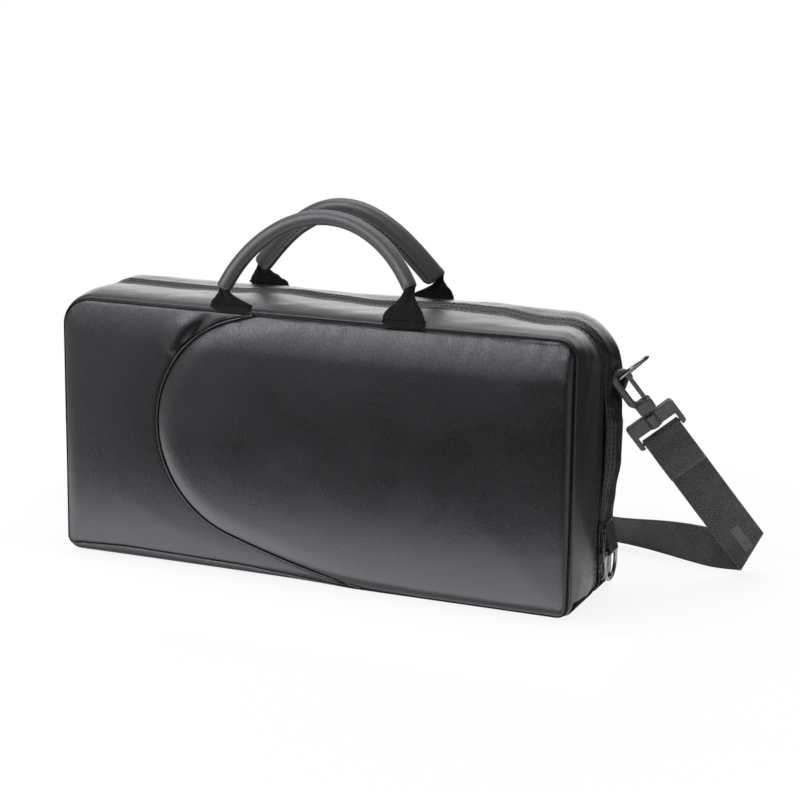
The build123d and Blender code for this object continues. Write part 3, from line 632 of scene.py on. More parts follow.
# ---- Piping ----
def rope(name, path, radius, material, closed=False, uneven=None):
    """A tube along a path, with a map of its length and girth."""
    if closed:
        tangent = unit(np.roll(path, -1, 0) - np.roll(path, 1, 0))
    else:
        tangent = unit(np.gradient(path, axis=0))
    side = unit(np.cross(tangent, (0.0, 1.0, 0.0001)))
    other = np.cross(side, tangent)
    run = lengths(path)
    radii = radius * (1 + (uneven(run) if uneven else 0.0)) * np.ones(len(path))
    corners = 12
    rings, uvs = [], []
    for a in np.linspace(0, 2 * math.pi, corners, endpoint=False):
        rings.append(path + (side * math.cos(a) + other * math.sin(a)) * radii[:, None])
        uvs.append(beside(run, a * radius))
    shape = (len(path), corners)
    faces = lattice(shape, closed_u=True, closed_v=True) if closed else capped(*shape)
    return make(name, np.stack(rings, 1).reshape(-1, 3), faces, material, np.stack(uvs, 1).reshape(-1, 2))


# The slim piping that lies down in the crease between each gusset and its panel. Its near-black, matte
# leather partly paints the crease's shade.
for part, body, y in (("front", "lid", FRONT + 1.0), ("back", "tray", BACK - 1.0)):
    path = crease_loop(y, 0.1)
    bead = rope(
        f"{part}_piping_bead", path, 0.75, bead_skin_painted_shade, closed=True,
        uneven=lambda run: 0.05 * wander(run, 12, 31),
    )
    place(bead, body, "piping", f"{part}_piping")


# ---- Woven binding over the bottom corners ----
def binding(name, x_side, y_from, y_to):
    """A strip of tape laid round a bottom corner, along the case's depth."""
    angles = np.radians(np.concatenate([np.linspace(-4, -76, 17), np.linspace(-76, -4, 17)]))
    stand = np.concatenate([[0.15], np.full(15, 0.6), [0.15], [0.05], np.full(15, 0.1), [0.05]])
    rings, uvs = [], []
    for y in np.linspace(y_from, y_to, 40):
        far = BOTTOM + stand + 0.06 * wander(np.degrees(angles) + y * 4, 30, 81)
        x = x_side * (END - BOTTOM + far * np.cos(angles))
        z = BOTTOM + far * np.sin(angles)
        rings.append(np.stack([x, np.full(len(x), y), np.maximum(z, 0.05)], 1))
        uvs.append(np.stack([np.full(len(x), y), angles * BOTTOM], 1))
    return tube(name, rings, uvs, tape_cloth)


for end, x_side in ENDS.items():
    for part, *reach in (("lid", FRONT + 6.5, ZIP - LIP - 3.5), ("tray", ZIP + LIP + 3.5, BACK - 6.5)):
        place(binding(f"{part}_binding_{end}", x_side, *reach), part, "zip_tape")


# ---- Front and back panels ----
CURVE_X, CURVE_Z, CURVE_R = -36.7, 107.0, 81.8  # the round part of the front's curved seam
CURVE_FROM, CURVE_TO = 106, 252  # where the round part starts and ends, in degrees from +x
TAIL_X = 54.0  # where the seam's tail meets the bottom


def curved_seam(grow=0.0, gap=1.1):
    """The front's curved seam from above the top edge down past the bottom, moved to the left by grow."""
    turn = np.radians(np.linspace(CURVE_FROM, CURVE_TO, 180))
    middle = np.stack([CURVE_X + CURVE_R * np.cos(turn), CURVE_Z + CURVE_R * np.sin(turn)], 1)
    rise, tip = math.radians(CURVE_FROM - 90), math.radians(270 - CURVE_TO)
    crest = middle[0] + 80 * np.array([math.cos(rise), math.sin(rise)])
    foot, end = middle[-1], np.array([TAIL_X, 0.0])
    normal = np.array([math.sin(tip), math.cos(tip)])
    across = end - foot
    radius = across @ across / (2 * normal @ across)
    hub = foot + normal * radius
    start = math.atan2(*(foot - hub)[::-1])
    stop = math.atan2(*(end - hub)[::-1])
    tail = np.linspace(start, stop + (stop - start) * 0.15, 60)[1:]
    low = hub + radius * np.stack([np.cos(tail), np.sin(tail)], 1)
    high = crest + (middle[0] - crest) * np.linspace(0, 1, 40, endpoint=False)[:, None]
    path = even(np.vstack([high, middle, low]), gap=gap)
    way = unit(np.gradient(path, axis=0))
    return path + grow * np.stack([way[:, 1], -way[:, 0]], 1)


def within(points, loop):
    """Which points lie inside a closed loop."""
    inside = np.zeros(len(points), bool)
    x, z = points[:, 0], points[:, 1]
    for (x1, z1), (x2, z2) in zip(loop, np.roll(loop, -1, 0)):
        if z1 != z2:
            inside ^= ((z1 > z) != (z2 > z)) & (x < (x2 - x1) * (z - z1) / (z2 - z1) + x1)
    return inside


def nearest(points, line):
    """The distance from each point to a line, and the number of the line's nearest point."""
    far, index = np.full(len(points), 1e9), np.zeros(len(points), int)
    chunk = 3000
    for first in range(0, len(points), chunk):
        part = slice(first, first + chunk)
        some = points[part]
        gap = ((some[:, None] - line[None]) ** 2).sum(2)
        k = gap.argmin(1)
        index[part] = k
        best = np.full(len(some), 1e9)
        for a in (np.maximum(k - 1, 0), np.minimum(k, len(line) - 2)):
            start, way = line[a], line[a + 1] - line[a]
            t = clamp(((some - start) * way).sum(1) / np.maximum((way**2).sum(1), 1e-9))
            best = np.minimum(best, np.linalg.norm(some - start - way * t[:, None], axis=1))
        far[part] = best
    return far, index


def field(loop, rings=(0.35, 0.9, 1.7, 2.7, 3.9, 5.3, 7.0, 9.0, 11.4), gap=3.0):
    """Points and triangles that fill a loop, close together near its edge."""
    shut = np.vstack([loop, loop[:1]])
    inward = np.roll(loop, -1, 0) - np.roll(loop, 1, 0)
    inward = unit(np.stack([-inward[:, 1], inward[:, 0]], 1))
    if not within(loop[5:6] + inward[5:6] * 0.5, loop)[0]:
        inward = -inward
    sets = [loop]
    for depth in rings:
        step = 1 if depth < 4 else 2
        ring = (loop + inward * depth)[::step]
        keep = within(ring, loop)
        ring = ring[keep]
        sets.append(ring[nearest(ring, shut)[0] > depth * 0.97])
    low, high = loop.min(0), loop.max(0)
    xs, zs = np.arange(low[0], high[0], gap), np.arange(low[1], high[1], gap * 0.866)
    grid = np.array([(x + (row % 2) * gap / 2, z) for row, z in enumerate(zs) for x in xs])
    grid = grid[within(grid, loop)]
    sets.append(grid[nearest(grid, shut)[0] > rings[-1] + gap * 0.7])
    points = np.vstack(sets)
    found = delaunay_2d_cdt([Vector(p) for p in points], [], [list(range(len(loop)))], 1, 1e-5)
    return np.array([tuple(v) for v in found[0]]), found[2]


def loop_of(y, keep):
    """The crease at y as (x, z) points where keep(points) holds, in order from the first one after a gap."""
    path = flat(crease_loop(y))
    wanted = keep(path)
    start = int(np.argmax(wanted & ~np.roll(wanted, 1)))
    path, wanted = np.roll(path, -start, 0), np.roll(wanted, -start)
    return path[wanted]


def swell(gap, width, power):
    """A pad's height share at a distance from its seam, rising steeply and then rounding off."""
    t = clamp(gap / width)
    return (1 - (1 - t) ** power) ** (1 / power)


def pad(name, loop, y_of, material, base, sense):
    """A panel that fills a loop, its face at y_of(points), with its edge turned under to the base."""
    points, faces = field(loop)
    rim = len(loop)
    y = y_of(points)
    face = np.stack([points[:, 0], y, points[:, 1]], 1)
    edge = np.stack([loop[:, 0], np.full(rim, base), loop[:, 1]], 1)
    under = edge.copy()
    under[:, 1] -= 0.6 * sense
    faces = [list(f) for f in faces]
    a = np.arange(rim)
    b = (a + 1) % rim
    n = len(face)
    walls = [[int(i), int(j), n + int(j), n + int(i)] for i, j in zip(a, b)]
    walls += [[n + int(i), n + int(j), n + rim + int(j), n + rim + int(i)] for i, j in zip(a, b)]
    back = [[n + rim + int(i) for i in a[::-1]]]
    return tidy_normals(make(name, np.vstack([face, edge, under]), faces + walls + back, material))


def puckers(run, gap, scale, seed, high, fall, rise):
    """Small waves along a seam that start a little off it and die away."""
    return wander(run, scale, seed) * np.exp(-gap / fall) * high * clamp(gap / rise)


def dome(gap, high, fall):
    """How far a padded face swells towards its middle."""
    return high * (1 - np.exp(-gap / fall))


def ripples(points, scale, seed):
    """Broad waves over a panel."""
    return wander(np.stack([points[:, 0], points[:, 1]], 1), scale, seed)


SEAM = curved_seam()
BASE = FRONT + 1.6


def right_of_seam(points):
    """Whether points lie on the raised panel's side of the curved seam."""
    k = np.clip(nearest(points, SEAM)[1], 1, len(SEAM) - 2)
    way = SEAM[k + 1] - SEAM[k - 1]
    off = points - SEAM[k]
    return way[:, 0] * off[:, 1] - way[:, 1] * off[:, 0] > 0


def panel_loop(grow, right):
    """The edge of the front panel on one side of the curved seam, moved to the left by grow."""
    seam = curved_seam(grow)
    side = loop_of(FRONT, lambda p: right_of_seam(p) == right)
    whole = flat(crease_loop(FRONT))
    seam = seam[within(seam, whole)]
    if np.linalg.norm(side[-1] - seam[0]) > np.linalg.norm(side[-1] - seam[-1]):
        seam = seam[::-1]
    clear = [np.linalg.norm(seam - side[end], axis=1) > 0.8 for end in (0, -1)]
    return np.vstack([side, seam[clear[0] & clear[1]]])


def seam_round(y):
    """The whole crease at y as (x, z) points, its first one repeated at its end."""
    edge = flat(crease_loop(y))
    return np.vstack([edge, edge[:1]])


front_edge, back_edge = seam_round(FRONT), seam_round(BACK)


def box_swell(p, low_x, high_x, widths):
    """The product of the swells off the left, right, lower and upper sides. The upper one is the softest."""
    gaps = (p[:, 0] - low_x, high_x - p[:, 0], p[:, 1] - 2.0, HEIGHT - CREASE - p[:, 1])
    total = np.ones(len(p))
    for gap, width, power in zip(gaps, widths, (2.0, 2.0, 2.0, 1.45)):
        if width:
            total = total * swell(gap, width, power)
    return total


def raised_face(p):
    """The padded panel's y: it rolls over slowly at its top, sharply at its end, and gathers at its seams."""
    out, k = nearest(p, front_edge)
    curve, j = nearest(p, SEAM)
    top = clamp((p[:, 1] - 135) / 45)
    edge = 0.30 + 0.70 * box_swell(p, 0, END - 3.0, (0, 5.0, 12.0, 27.0))
    rise = edge * swell(out, 1.1, 2.0) * (0.50 * swell(curve, 0.9, 2.0) + 0.50 * swell(curve, 15.0, 1.8))
    run = lengths(front_edge)[k]
    gathers = wander(run + 0.25 * out, 6.8, 41) * bell(out, 17) * (0.06 + 0.30 * top)
    gathers = gathers + wander(run - 0.3 * out, 27, 44) * np.exp(-out / 20) * 0.35
    gathers = gathers + wander(run, 3.0, 49) * bell(out, 13) * 0.07 * top
    to_corner = np.abs(HEIGHT - p[:, 1] - END + p[:, 0])  # from the mitre line, where the gathers end
    gathers = gathers * clamp(out / 3) * clamp(to_corner / 9)
    gathers = gathers + puckers(lengths(SEAM)[j], curve, 13, 42, high=0.2, fall=8, rise=2)
    body = BASE - 8.0 * rise - dome(np.minimum(out, curve), high=2.4, fall=42)
    return body + gathers + 0.3 * ripples(p, 105, 43) * clamp(out / 20)


def flat_face(p):
    """The y of the flatter panel left of the curved seam, with a fold where the seam pulls on its top."""
    out, k = nearest(p, front_edge)
    curve, j = nearest(p, SEAM)
    curve = np.maximum(curve - 1.2, 0)
    edge = 0.40 + 0.60 * box_swell(p, 1.7 - END, 0, (10.0, 0, 9.0, 24.0))
    rise = edge * swell(out, 1.1, 2.0) * swell(curve, 1.0, 2.0)
    row = 0.35 * bell(curve - 1.5, 0.5) * clamp((p[:, 1] - 60) / 20)
    run = lengths(front_edge)[k]
    gathers = puckers(run, out, 13, 45, high=0.2, fall=9, rise=3)
    gathers = gathers + puckers(lengths(SEAM)[j], curve, 15, 47, high=0.16, fall=6, rise=2)
    valley = nearest(p, np.array([(-77.0, 191.0), (-85.0, 179.0), (-95.0, 166.0)]))[0]
    ridge = nearest(p, np.array([(-92.0, 187.0), (-99.0, 177.0), (-106.0, 164.0)]))[0]
    pulled = 1.8 * bell(valley, 3.6) - 1.7 * bell(ridge, 6.0)
    loose = (pulled + 0.26 * ripples(p, 85, 46)) * clamp(out / 12)
    body = BASE - 4.7 * rise - dome(np.minimum(out, curve), high=1.3, fall=32)
    return body + gathers + row + loose


def back_face(p):
    """The y of the plain padded back."""
    out, k = nearest(p, back_edge)
    gathers = puckers(lengths(back_edge)[k], out, 13, 51, high=0.18, fall=8, rise=3)
    loose = 0.2 * ripples(p, 90, 52) * clamp(out / 20)
    return BACK - 1.6 + 5.4 * swell(out, 12.0, 2.0) + dome(out, high=0.9, fall=34) - gathers - loose


for name, loop, face, base, sense, body, node in (
    ("front_pad_right", panel_loop(0.0, True), raised_face, BASE + 0.4, -1, "lid", "front_panel_right"),
    ("front_pad_left", panel_loop(1.2, False), flat_face, BASE + 0.4, -1, "lid", "front_panel_left"),
    ("back_pad", flat(crease_loop(BACK)), back_face, BACK - 2.0, 1, "tray", "back_panel"),
):
    panel = place(pad(name, loop, face, skin, base, sense), body, "leatherette", node)

curve_path = SEAM[within(SEAM, flat(crease_loop(FRONT, 0.9)))]
along = unit(np.gradient(curve_path, axis=0))
leftward = np.stack([along[:, 1], -along[:, 0]], 1)
bead_y = flat_face(curve_path + leftward * 3.4) - 0.05
bead_path = np.insert(curve_path + leftward * 0.75, 1, bead_y, axis=1)
# The bead's paler leather is a painted highlight along the curved seam's edge.
curve_bead = rope("curve_piping_bead", bead_path, 0.72, highlight_edge_skin)
place(curve_bead, "lid", "piping", "curve_piping")

sewn = curve_path + leftward * 2.7
sewn = sewn[(nearest(sewn, front_edge)[0] > 4) & within(sewn, front_edge[:-1]) & (sewn[:, 1] > 70)]
sewn_row = (np.insert(sewn, 1, flat_face(sewn) - 0.05, axis=1), np.tile((0.0, -1.0, 0.0), (len(sewn), 1)))
curve_thread = stitches("curve_stitches", [sewn_row], length=2.1, gap=1.2, wide=0.9, high=0.42)
place(curve_thread, "lid", "leatherette")


# ---- Zip: woven tapes, moulded teeth ----
def part_of_outline(y, depth, left_foot, right_foot):
    """The outline from a height on the left end, over the top, to a height on the right end."""
    middle = outline(ZIP, 0.0, False)[0]
    keep = np.where(middle[:, 0] < 0, middle[:, 2] > left_foot, middle[:, 2] > right_foot)
    points, normals, run = outline(y, 0.0, False)
    points = points - normals * (depth - DRIFT_OUT)[:, None]
    points[:, 1] += DRIFT_Y
    return points[keep], normals[keep], run[keep]


def zip_tape(name, near, far, left_foot, right_foot):
    """A tape from its edge near the teeth to its edge far from them, under the gusset."""
    rings, uvs = [], []
    curl = np.sign(near - ZIP) * 0.15
    middle = (near + far) / 2
    for y, depth in (
        (near, 2.1), (far, 2.1), (far, 1.45), (middle, 1.4), (near, 1.3), (near - curl, 1.8), (near, 2.1),
    ):
        points, _, run = part_of_outline(y, depth, left_foot, right_foot)
        rings.append(points)
        uvs.append(beside(run, abs(y - near) + depth))
    return surface(name, np.stack(rings), tape_cloth, np.stack(uvs), flip=far > near)


def zip_teeth(name, side, left_foot, right_foot, shift, pitch=1.7):
    """Moulded coil teeth: each is a small bar across the tape whose head locks over the middle."""
    points, normals, _ = part_of_outline(ZIP, 0.0, left_foot, right_foot)
    middles, ways, ups = along_rows([(points, normals)], pitch)
    middles = middles + unit(ways) * pitch * shift
    across = np.cross(unit(ways), unit(ups))
    across *= np.sign(across[:, 1:2]) * side
    middles = middles + across * 1.05 - ups * 0.35
    return pills(
        name, middles, across, ups, coil_plastic, length=2.5, wide=1.15, high=1.5, sink=0.35, arch=0.25,
    )


ZIP_END = 14.0  # the height at which the zip's tapes start
for body, side, tape_end, teeth_end, shift in (("lid", -1, 54.3, 57.2, 0.0), ("tray", 1, ZIP_END, 20.0, 0.5)):
    tape = zip_tape(f"zip_tape_{body}_cloth", ZIP + 0.5 * side, ZIP + 12 * side, ZIP_END, tape_end)
    place(tape, body, "zip_tape", f"zip_tape_{body}")
    teeth = zip_teeth(f"zip_teeth_{body}", side, 20.0, teeth_end, shift)
    place(teeth, body, "zip_coil", f"zip_coil_{body}")


# ---- Cloth and leather hinges ----
def joint_strip(name, x_from, x_to, start, end, thick, material, seed):
    """A flat strip along x whose width runs from start to end, both (y, z)."""
    start, end = np.array(start), np.array(end)
    line = start + (end - start) * np.linspace(0, 1, 45)[:, None]
    way = unit(end - start)
    off = np.array([-way[1], way[0]]) * thick / 2
    loop = np.vstack([line + off, (line - off)[::-1]])
    girth = lengths(loop)
    rings, uvs = [], []
    for x in np.linspace(x_from, x_to, 120):
        uneven = off * 0.12 * wander(girth * 2 + x, 11, seed)[:, None]
        rings.append(np.insert(loop + uneven, 0, x, axis=1))
        uvs.append(np.stack([np.full(len(loop), x), girth], 1))
    return tube(name, rings, uvs, material)


case_hinge = joint_strip(
    "case_hinge_leather", -186.7, 186.7, start=(16.0, 0.7), end=(4.0, 0.7), thick=0.95,
    material=skin, seed=92,
)
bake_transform(case_hinge)
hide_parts("hinge_strip")
accessory_cloth = joint_strip(
    "accessory_hinge_cloth", -81.2, 47.2, start=(-2.5, 34.8), end=(-2.5, 50.8), thick=0.58,
    material=ribbon_cloth, seed=91,
)
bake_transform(accessory_cloth)
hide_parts("accessory_hinge")


# ---- Handles ----
HALF, FOOT = 71.0, 16.0  # a grip's foot, out from its middle and up from its joint
HINGE_Z = HEIGHT + 1.5  # the height of both handles' joints
ROLL = 5.4  # the radius of a grip's roll


def arch_path(middle_x, seam_y, lean, crown, shoulder, count=130):
    """A grip's middle line through its feet, shoulders and crown, its origin, and its up and outward ways."""
    knots = [(-HALF, FOOT), (-0.6 * HALF, shoulder), (0, crown), (0.6 * HALF, shoulder), (HALF, FOOT)]
    knots = np.array(knots)
    at = lengths(knots)
    powers = np.vander(at / at[-1], 5)
    arch = np.vander(np.linspace(0, 1, count), 5) @ np.linalg.solve(powers, knots)
    arch = even(arch, count=count)
    tilt = math.radians(lean)
    up = np.array([0.0, math.sin(tilt), math.cos(tilt)])
    out = np.array([0.0, -math.cos(tilt), math.sin(tilt)])
    origin = np.array([middle_x, seam_y, HINGE_Z])
    path = origin + np.outer(arch[:, 0], (1.0, 0, 0)) + np.outer(arch[:, 1], up)
    return path, origin, up, out


def grip_section():
    """The grip's outline: leather round a core, pinched together at a row of stitches, then a rolled edge."""

    def arc(centre, radius, angles):
        return [(centre + radius * math.cos(a), radius * math.sin(a)) for a in np.radians(angles)]

    ring = arc(0.0, ROLL, np.linspace(44, 316, 26))
    ring += [(5.2, -2.75), (6.3, -2.0), (7.1, -1.62), (7.6, -1.55), (8.1, -1.7)]
    ring += arc(9.5, 1.95, np.linspace(-105, 105, 12))
    ring += [(8.1, 1.7), (7.6, 1.55), (7.1, 1.62), (6.3, 2.0), (5.2, 2.75)]
    return np.array(ring)


def handle(name, below, middle_x, seam_y, lean, crown, shoulder, flange_turn, trim):
    """A grip with its stitches and webbing, sewn to the body below. trim is how much longer than its line the
    grip is at its left and right ends."""
    path, origin, up, out = arch_path(middle_x, seam_y, lean, crown, shoulder)
    for end, more in ((0, trim[0]), (-1, trim[1])):
        if more > 0:
            beyond = path[end] + unit(path[end] - path[1 if end == 0 else -2]) * more
            path = np.vstack([[beyond], path]) if end == 0 else np.vstack([path, [beyond]])
        else:
            far = lengths(path) if end == 0 else lengths(path[::-1])[::-1]
            path = path[far >= -more]
    path = even(path, gap=1.25)
    tangent = unit(np.gradient(path, axis=0))
    inner = np.cross(np.tile(out, (len(path), 1)), tangent)
    inner = -inner if inner[len(path) // 2] @ up > 0 else inner
    turn = math.radians(flange_turn)
    flange = inner * math.cos(turn) + out * math.sin(turn)
    off = out * math.cos(turn) - inner * math.sin(turn)
    run = lengths(path)
    ring = grip_section()
    girth = lengths(ring)
    ends = clamp(np.minimum(run, run[-1] - run) / 6)
    ends = (1 - (1 - ends) ** 2) ** 0.5
    squeeze = 1 + 0.014 * wander(run, 30, 61)
    grow = np.ones(len(path))
    grow[:2], grow[-2:] = (0.9, 0.985), (0.985, 0.9)
    rings, uvs = [], []
    for (p, q), g in zip(ring, girth):
        edge = max(p - 5.0, 0)
        p_now = p - edge * (1 - ends) * 0.75 + 0.25 * (edge > 0) * wander(run, 16, 62)
        rings.append(path + flange * (p_now * squeeze * grow)[:, None] + off * (q * squeeze * grow)[:, None])
        uvs.append(beside(run, g))
    grip = tube(f"{name}_grip_leather", np.stack(rings, 1), np.stack(uvs, 1), grip_skin)
    place(grip, name, "handle_leather", f"{name}_grip", f"{name}_core")
    path_in, flange_in, off_in = (values[4:-4] for values in (path, flange, off))
    sewn = path_in + flange_in * 7.6
    rows = [(sewn + off_in * (side * 1.5), off_in * side) for side in (-1, 1)]
    thread = stitches(f"{name}_grip_stitches", rows, length=2.3, gap=1.1, wide=0.7, high=0.45)
    place(thread, name, "handle_leather")
    for end, side in ENDS.items():
        replaced = [f"{name}_webbing"] if end == "left" else []
        place(webbing_foot(f"{name}_webbing_{end}", path, origin, out, side), name, "webbing", *replaced)
        place(webbing_tail(f"{name}_tail_{end}", origin, side), below, "webbing")


WEB_HALF = 15.6  # half of the webbing's width where it lies flat
WEB_IN = 5.0  # from a grip's foot in to the middle of its webbing


def webbing_foot(name, path, origin, out, side):
    """Webbing that leaves the grip's end as a gathered bundle and flares out flat to its seam."""
    end = path[0] if side < 0 else path[-1]
    way = unit(path[0] - path[1]) if side < 0 else unit(path[-1] - path[-2])
    base = origin + np.array([side * (HALF - WEB_IN), 0, -0.5])
    rows, sides = 34, 56
    tucked, reach = 0.2, 5.0  # the share of the rows inside the grip, and how far in they go
    narrow, plump, thin = 4.5, 4.0, 0.75
    start = end - way * reach
    across = np.cross(way, out) * np.sign(np.cross(way, out)[0])
    rings, uvs = [], []
    for t in np.arange(rows) / (rows - 1):
        down = clamp((t - tucked) / (1 - tucked))
        flare = (1 - math.cos(math.pi * down**1.15)) / 2
        centre = start + way * reach * (t / tucked) if t < tucked else end + (base - end) * down
        centre = centre + np.array([side * -1.5 * math.sin(math.pi * down), 0, 0])
        along_x = unit(np.array([1.0, 0, 0]) * flare**0.5 + across * (1 - flare**0.5))
        wide = narrow + (WEB_HALF - narrow) * flare
        thick = plump + (thin - plump) * down**0.75
        power = 2.0 + 4.0 * down
        gather = math.sin(math.pi * min(down * 1.15, 1)) ** 0.8
        ring, uv = [], []
        for a in np.linspace(0, 2 * math.pi, sides, endpoint=False):
            c, s = math.cos(a), math.sin(a)
            px = math.copysign(abs(c) ** (2 / power), c) * wide
            pq = math.copysign(abs(s) ** (2 / power), s) * thick
            fold = 0.75 * math.sin(px * 0.62 + 1.3 * side + 2.2 * t) + 0.35 * math.sin(px * 1.5 - 3 * t)
            ring.append(centre + along_x * px + out * (pq + fold * gather))
            uv.append((t * 24, px * (0.55 + 0.45 * down) * 16 / wide if down < 0.02 else px))
        rings.append(ring)
        uvs.append(uv)
    return tube(name, rings, uvs, handle_web)


def webbing_tail(name, origin, side):
    """The end of a handle's webbing, laid over the case's edge and down into the crease it is sewn in."""
    seam_y = origin[1]
    sense = 1 if seam_y < 0 else -1
    middle = [(2.4, -1.3), (0.9, -0.9), (-0.6, 0.15), (-1.6, 1.5), (-1.75, 2.9), (-1.1, 4.1), (-0.1, 5.0)]
    count = 15
    middle = even(np.array(middle), count=count)
    way = unit(np.gradient(middle, axis=0))
    away = np.stack([way[:, 1], -way[:, 0]], 1)
    thick = np.interp(np.arange(count), (0, 3, 12, 14), (0.7, 0.7, 0.6, 0.35))[:, None]
    loop = np.vstack([middle + away * thick, (middle - away * thick)[::-1]])
    rings, uvs = [], []
    for x in np.linspace(-WEB_HALF, WEB_HALF, 30):
        lift = 0.2 * math.sin(x * 0.7 + side)
        draw = 1 - 0.22 * clamp((loop[:, 1] + 1) / 6) ** 3
        short = 1 - 0.4 * clamp((abs(x) - 9.0) / 6.6) ** 2
        rings.append(np.stack([
            origin[0] + side * (HALF - WEB_IN) + x * draw,
            seam_y + sense * (loop[:, 0] - lift * 0.5),
            HEIGHT - np.where(loop[:, 1] > 0, loop[:, 1] * short, loop[:, 1]) + lift,
        ], 1))
        uvs.append(np.stack([lengths(loop), np.full(len(loop), x)], 1))
    return tube(name, rings, uvs, handle_web)


handle(
    "front_handle", "lid", middle_x=5.5, seam_y=FRONT, lean=15.0, crown=66.0, shoulder=51.0,
    flange_turn=-92, trim=(5.5, -7.0),
)
handle(
    "rear_handle", "tray", middle_x=-10.0, seam_y=BACK, lean=-11.0, crown=64.5, shoulder=46.0,
    flange_turn=38, trim=(1.0, 1.0),
)


# ---- Moulded and sewn parts rounded off from the frame's own shapes ----
def round_off(node, body, material, voxel, rounds, fatter=0.0):
    """Replaces a frame node by a copy with rounded edges: remeshed at a fine voxel, smoothed and grown."""
    name = f"{node}_shape"
    mesh = nodes[node].data.copy()
    mesh.materials.clear()
    mesh.materials.append(material)
    piece = bpy.data.objects.new(name, mesh)
    bpy.context.scene.collection.objects.link(piece)
    remesh = piece.modifiers.new("remesh", "REMESH")
    remesh.mode, remesh.voxel_size, remesh.use_smooth_shade = "VOXEL", voxel / 1000, True
    smooth = piece.modifiers.new("smooth", "SMOOTH")
    smooth.factor, smooth.iterations = 0.5, rounds
    if fatter:
        grown = piece.modifiers.new("grown", "DISPLACE")
        grown.strength, grown.mid_level = fatter / 1000, 0.0
    done = bpy.data.meshes.new_from_object(piece.evaluated_get(bpy.context.evaluated_depsgraph_get()))
    piece.modifiers.clear()
    piece.data = done
    done.name = name
    done.shade_smooth()
    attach(piece, body)
    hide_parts(node)


for end in ENDS:
    round_off(f"snap_hook_{end}", f"snap_hook_{end}", hook_plastic, voxel=0.4, rounds=5, fatter=1.0)
    round_off(f"hook_gate_{end}", f"gate_{end}", hook_plastic, voxel=0.3, rounds=5, fatter=0.2)
    round_off(f"hook_base_{end}", "tray", hook_plastic, voxel=0.4, rounds=5)
    for tab in ("upper_tab", "lower_tab"):
        round_off(f"{tab}_{end}", "tray", tab_skin, voxel=0.35, rounds=7)
round_off("strap_adjuster", "adjuster", hook_plastic, voxel=0.4, rounds=5)
round_off("zip_slider", "zip_slider", zip_metal, voxel=0.22, rounds=5)
round_off("zip_pull", "zip_pull", zip_metal, voxel=0.2, rounds=4)
round_off("insert", "tray", lining_cloth, voxel=1.3, rounds=4)
round_off("accessory_lid", "accessory_lid", lining_cloth, voxel=0.6, rounds=5)
for body in ("lid", "tray"):
    round_off(f"{body}_lining", body, lining_cloth, voxel=1.0, rounds=2)


# ---- Shoulder strap ----
STRAP_HALF, STRAP_THICK = 15.0, 1.6
BAR_R = 2.2  # from the middle of a hook's bar to the middle of the webbing round it
FOLD_R = 3.0  # the bend where the strap meets the floor
BOW = 11.0  # how steeply the hanging part's bow starts, in degrees
LEAN, LEAN_FROM, LEAN_TO = 35.0, 20.0, 110.0  # how far it leans on the floor, and over which of its length
SHORT = 9.0  # a short straight beside a fold
CLEAR = 0.6  # how far its lower edge stands clear of the floor
HEADING, TURN = 190.0, 27.0  # the strap's way off its fold on the floor, and its first turn, in degrees


class Webbing:
    """A flat band that only bends and folds. Each ruling holds its middle, its half across the band, its
    normal, how far along it is and how far its end runs ahead."""

    def __init__(self, middle, along, across):
        self.middle, self.along, self.across = (np.array(v, float) for v in (middle, along, across))
        self.rulings, self.length, self.marked = [], 0.0, -1.0
        self.leans_after = 1e6

    def mark(self, crease=90.0):
        if self.length > self.marked:
            turn = math.radians(crease)
            ruling = self.along * math.cos(turn) + self.across * math.sin(turn)
            reach = ruling * (STRAP_HALF / math.sin(turn))
            normal = np.cross(self.along, self.across)
            middle = self.middle.copy()
            if self.length > self.leans_after:
                share = min((self.length - self.leans_after) / (LEAN_TO - LEAN_FROM), 1)
                lean = math.radians(LEAN) * ease(share)
                spin = np.array(Matrix.Rotation(-lean, 3, Vector(self.along)))
                reach, normal = spin @ reach, spin @ normal
                middle[2] = STRAP_HALF * math.cos(lean) + STRAP_THICK / 2 * math.sin(lean) + CLEAR
            self.rulings.append((middle, reach, normal, self.length, STRAP_HALF / math.tan(turn)))
            self.marked = self.length

    def run(self, distance, before=4.0, after=4.0, gap=5.0):
        """Carries on straight, with rulings along the way that keep clear of both ends."""
        start, first = self.middle.copy(), self.length
        for at in np.arange(before, distance - after, gap):
            self.middle, self.length = start + self.along * at, first + at
            self.mark()
        self.middle, self.length = start + self.along * distance, first + distance

    def skip(self, distance):
        """Carries on straight with no rulings."""
        self.run(distance, before=distance)

    def fold(self, angle, radius, steps, crease=90.0):
        """Bends about a crease, towards the normal for a positive angle."""
        turn, sense = math.radians(crease), math.copysign(1, angle)
        ruling = self.along * math.cos(turn) + self.across * math.sin(turn)
        bend = math.radians(abs(angle)) / steps
        spin = np.array(Matrix.Rotation(-bend * sense, 3, Vector(ruling)))
        self.mark(crease)
        for _ in range(steps):
            forward = unit(self.along - ruling * (ruling @ self.along))
            normal = np.cross(self.along, self.across) * sense
            arc = radius * bend / math.sin(turn)
            side = normal * (radius * (1 - math.cos(bend))) + forward * (radius * math.sin(bend))
            self.middle = self.middle + ruling * (arc * math.cos(turn)) + side
            self.along, self.across = spin @ self.along, spin @ self.across
            self.length += arc
            self.mark(crease)

    def bow(self, distance):
        """Gets as far along as a straight run would, in a shallow arc towards the band's normal."""
        spread = math.radians(BOW)
        self.fold(BOW, 20.0, steps=5)
        self.fold(-2 * BOW, distance / (2 * math.sin(spread)) - 20.0, steps=24)
        self.fold(BOW, 20.0, steps=5)


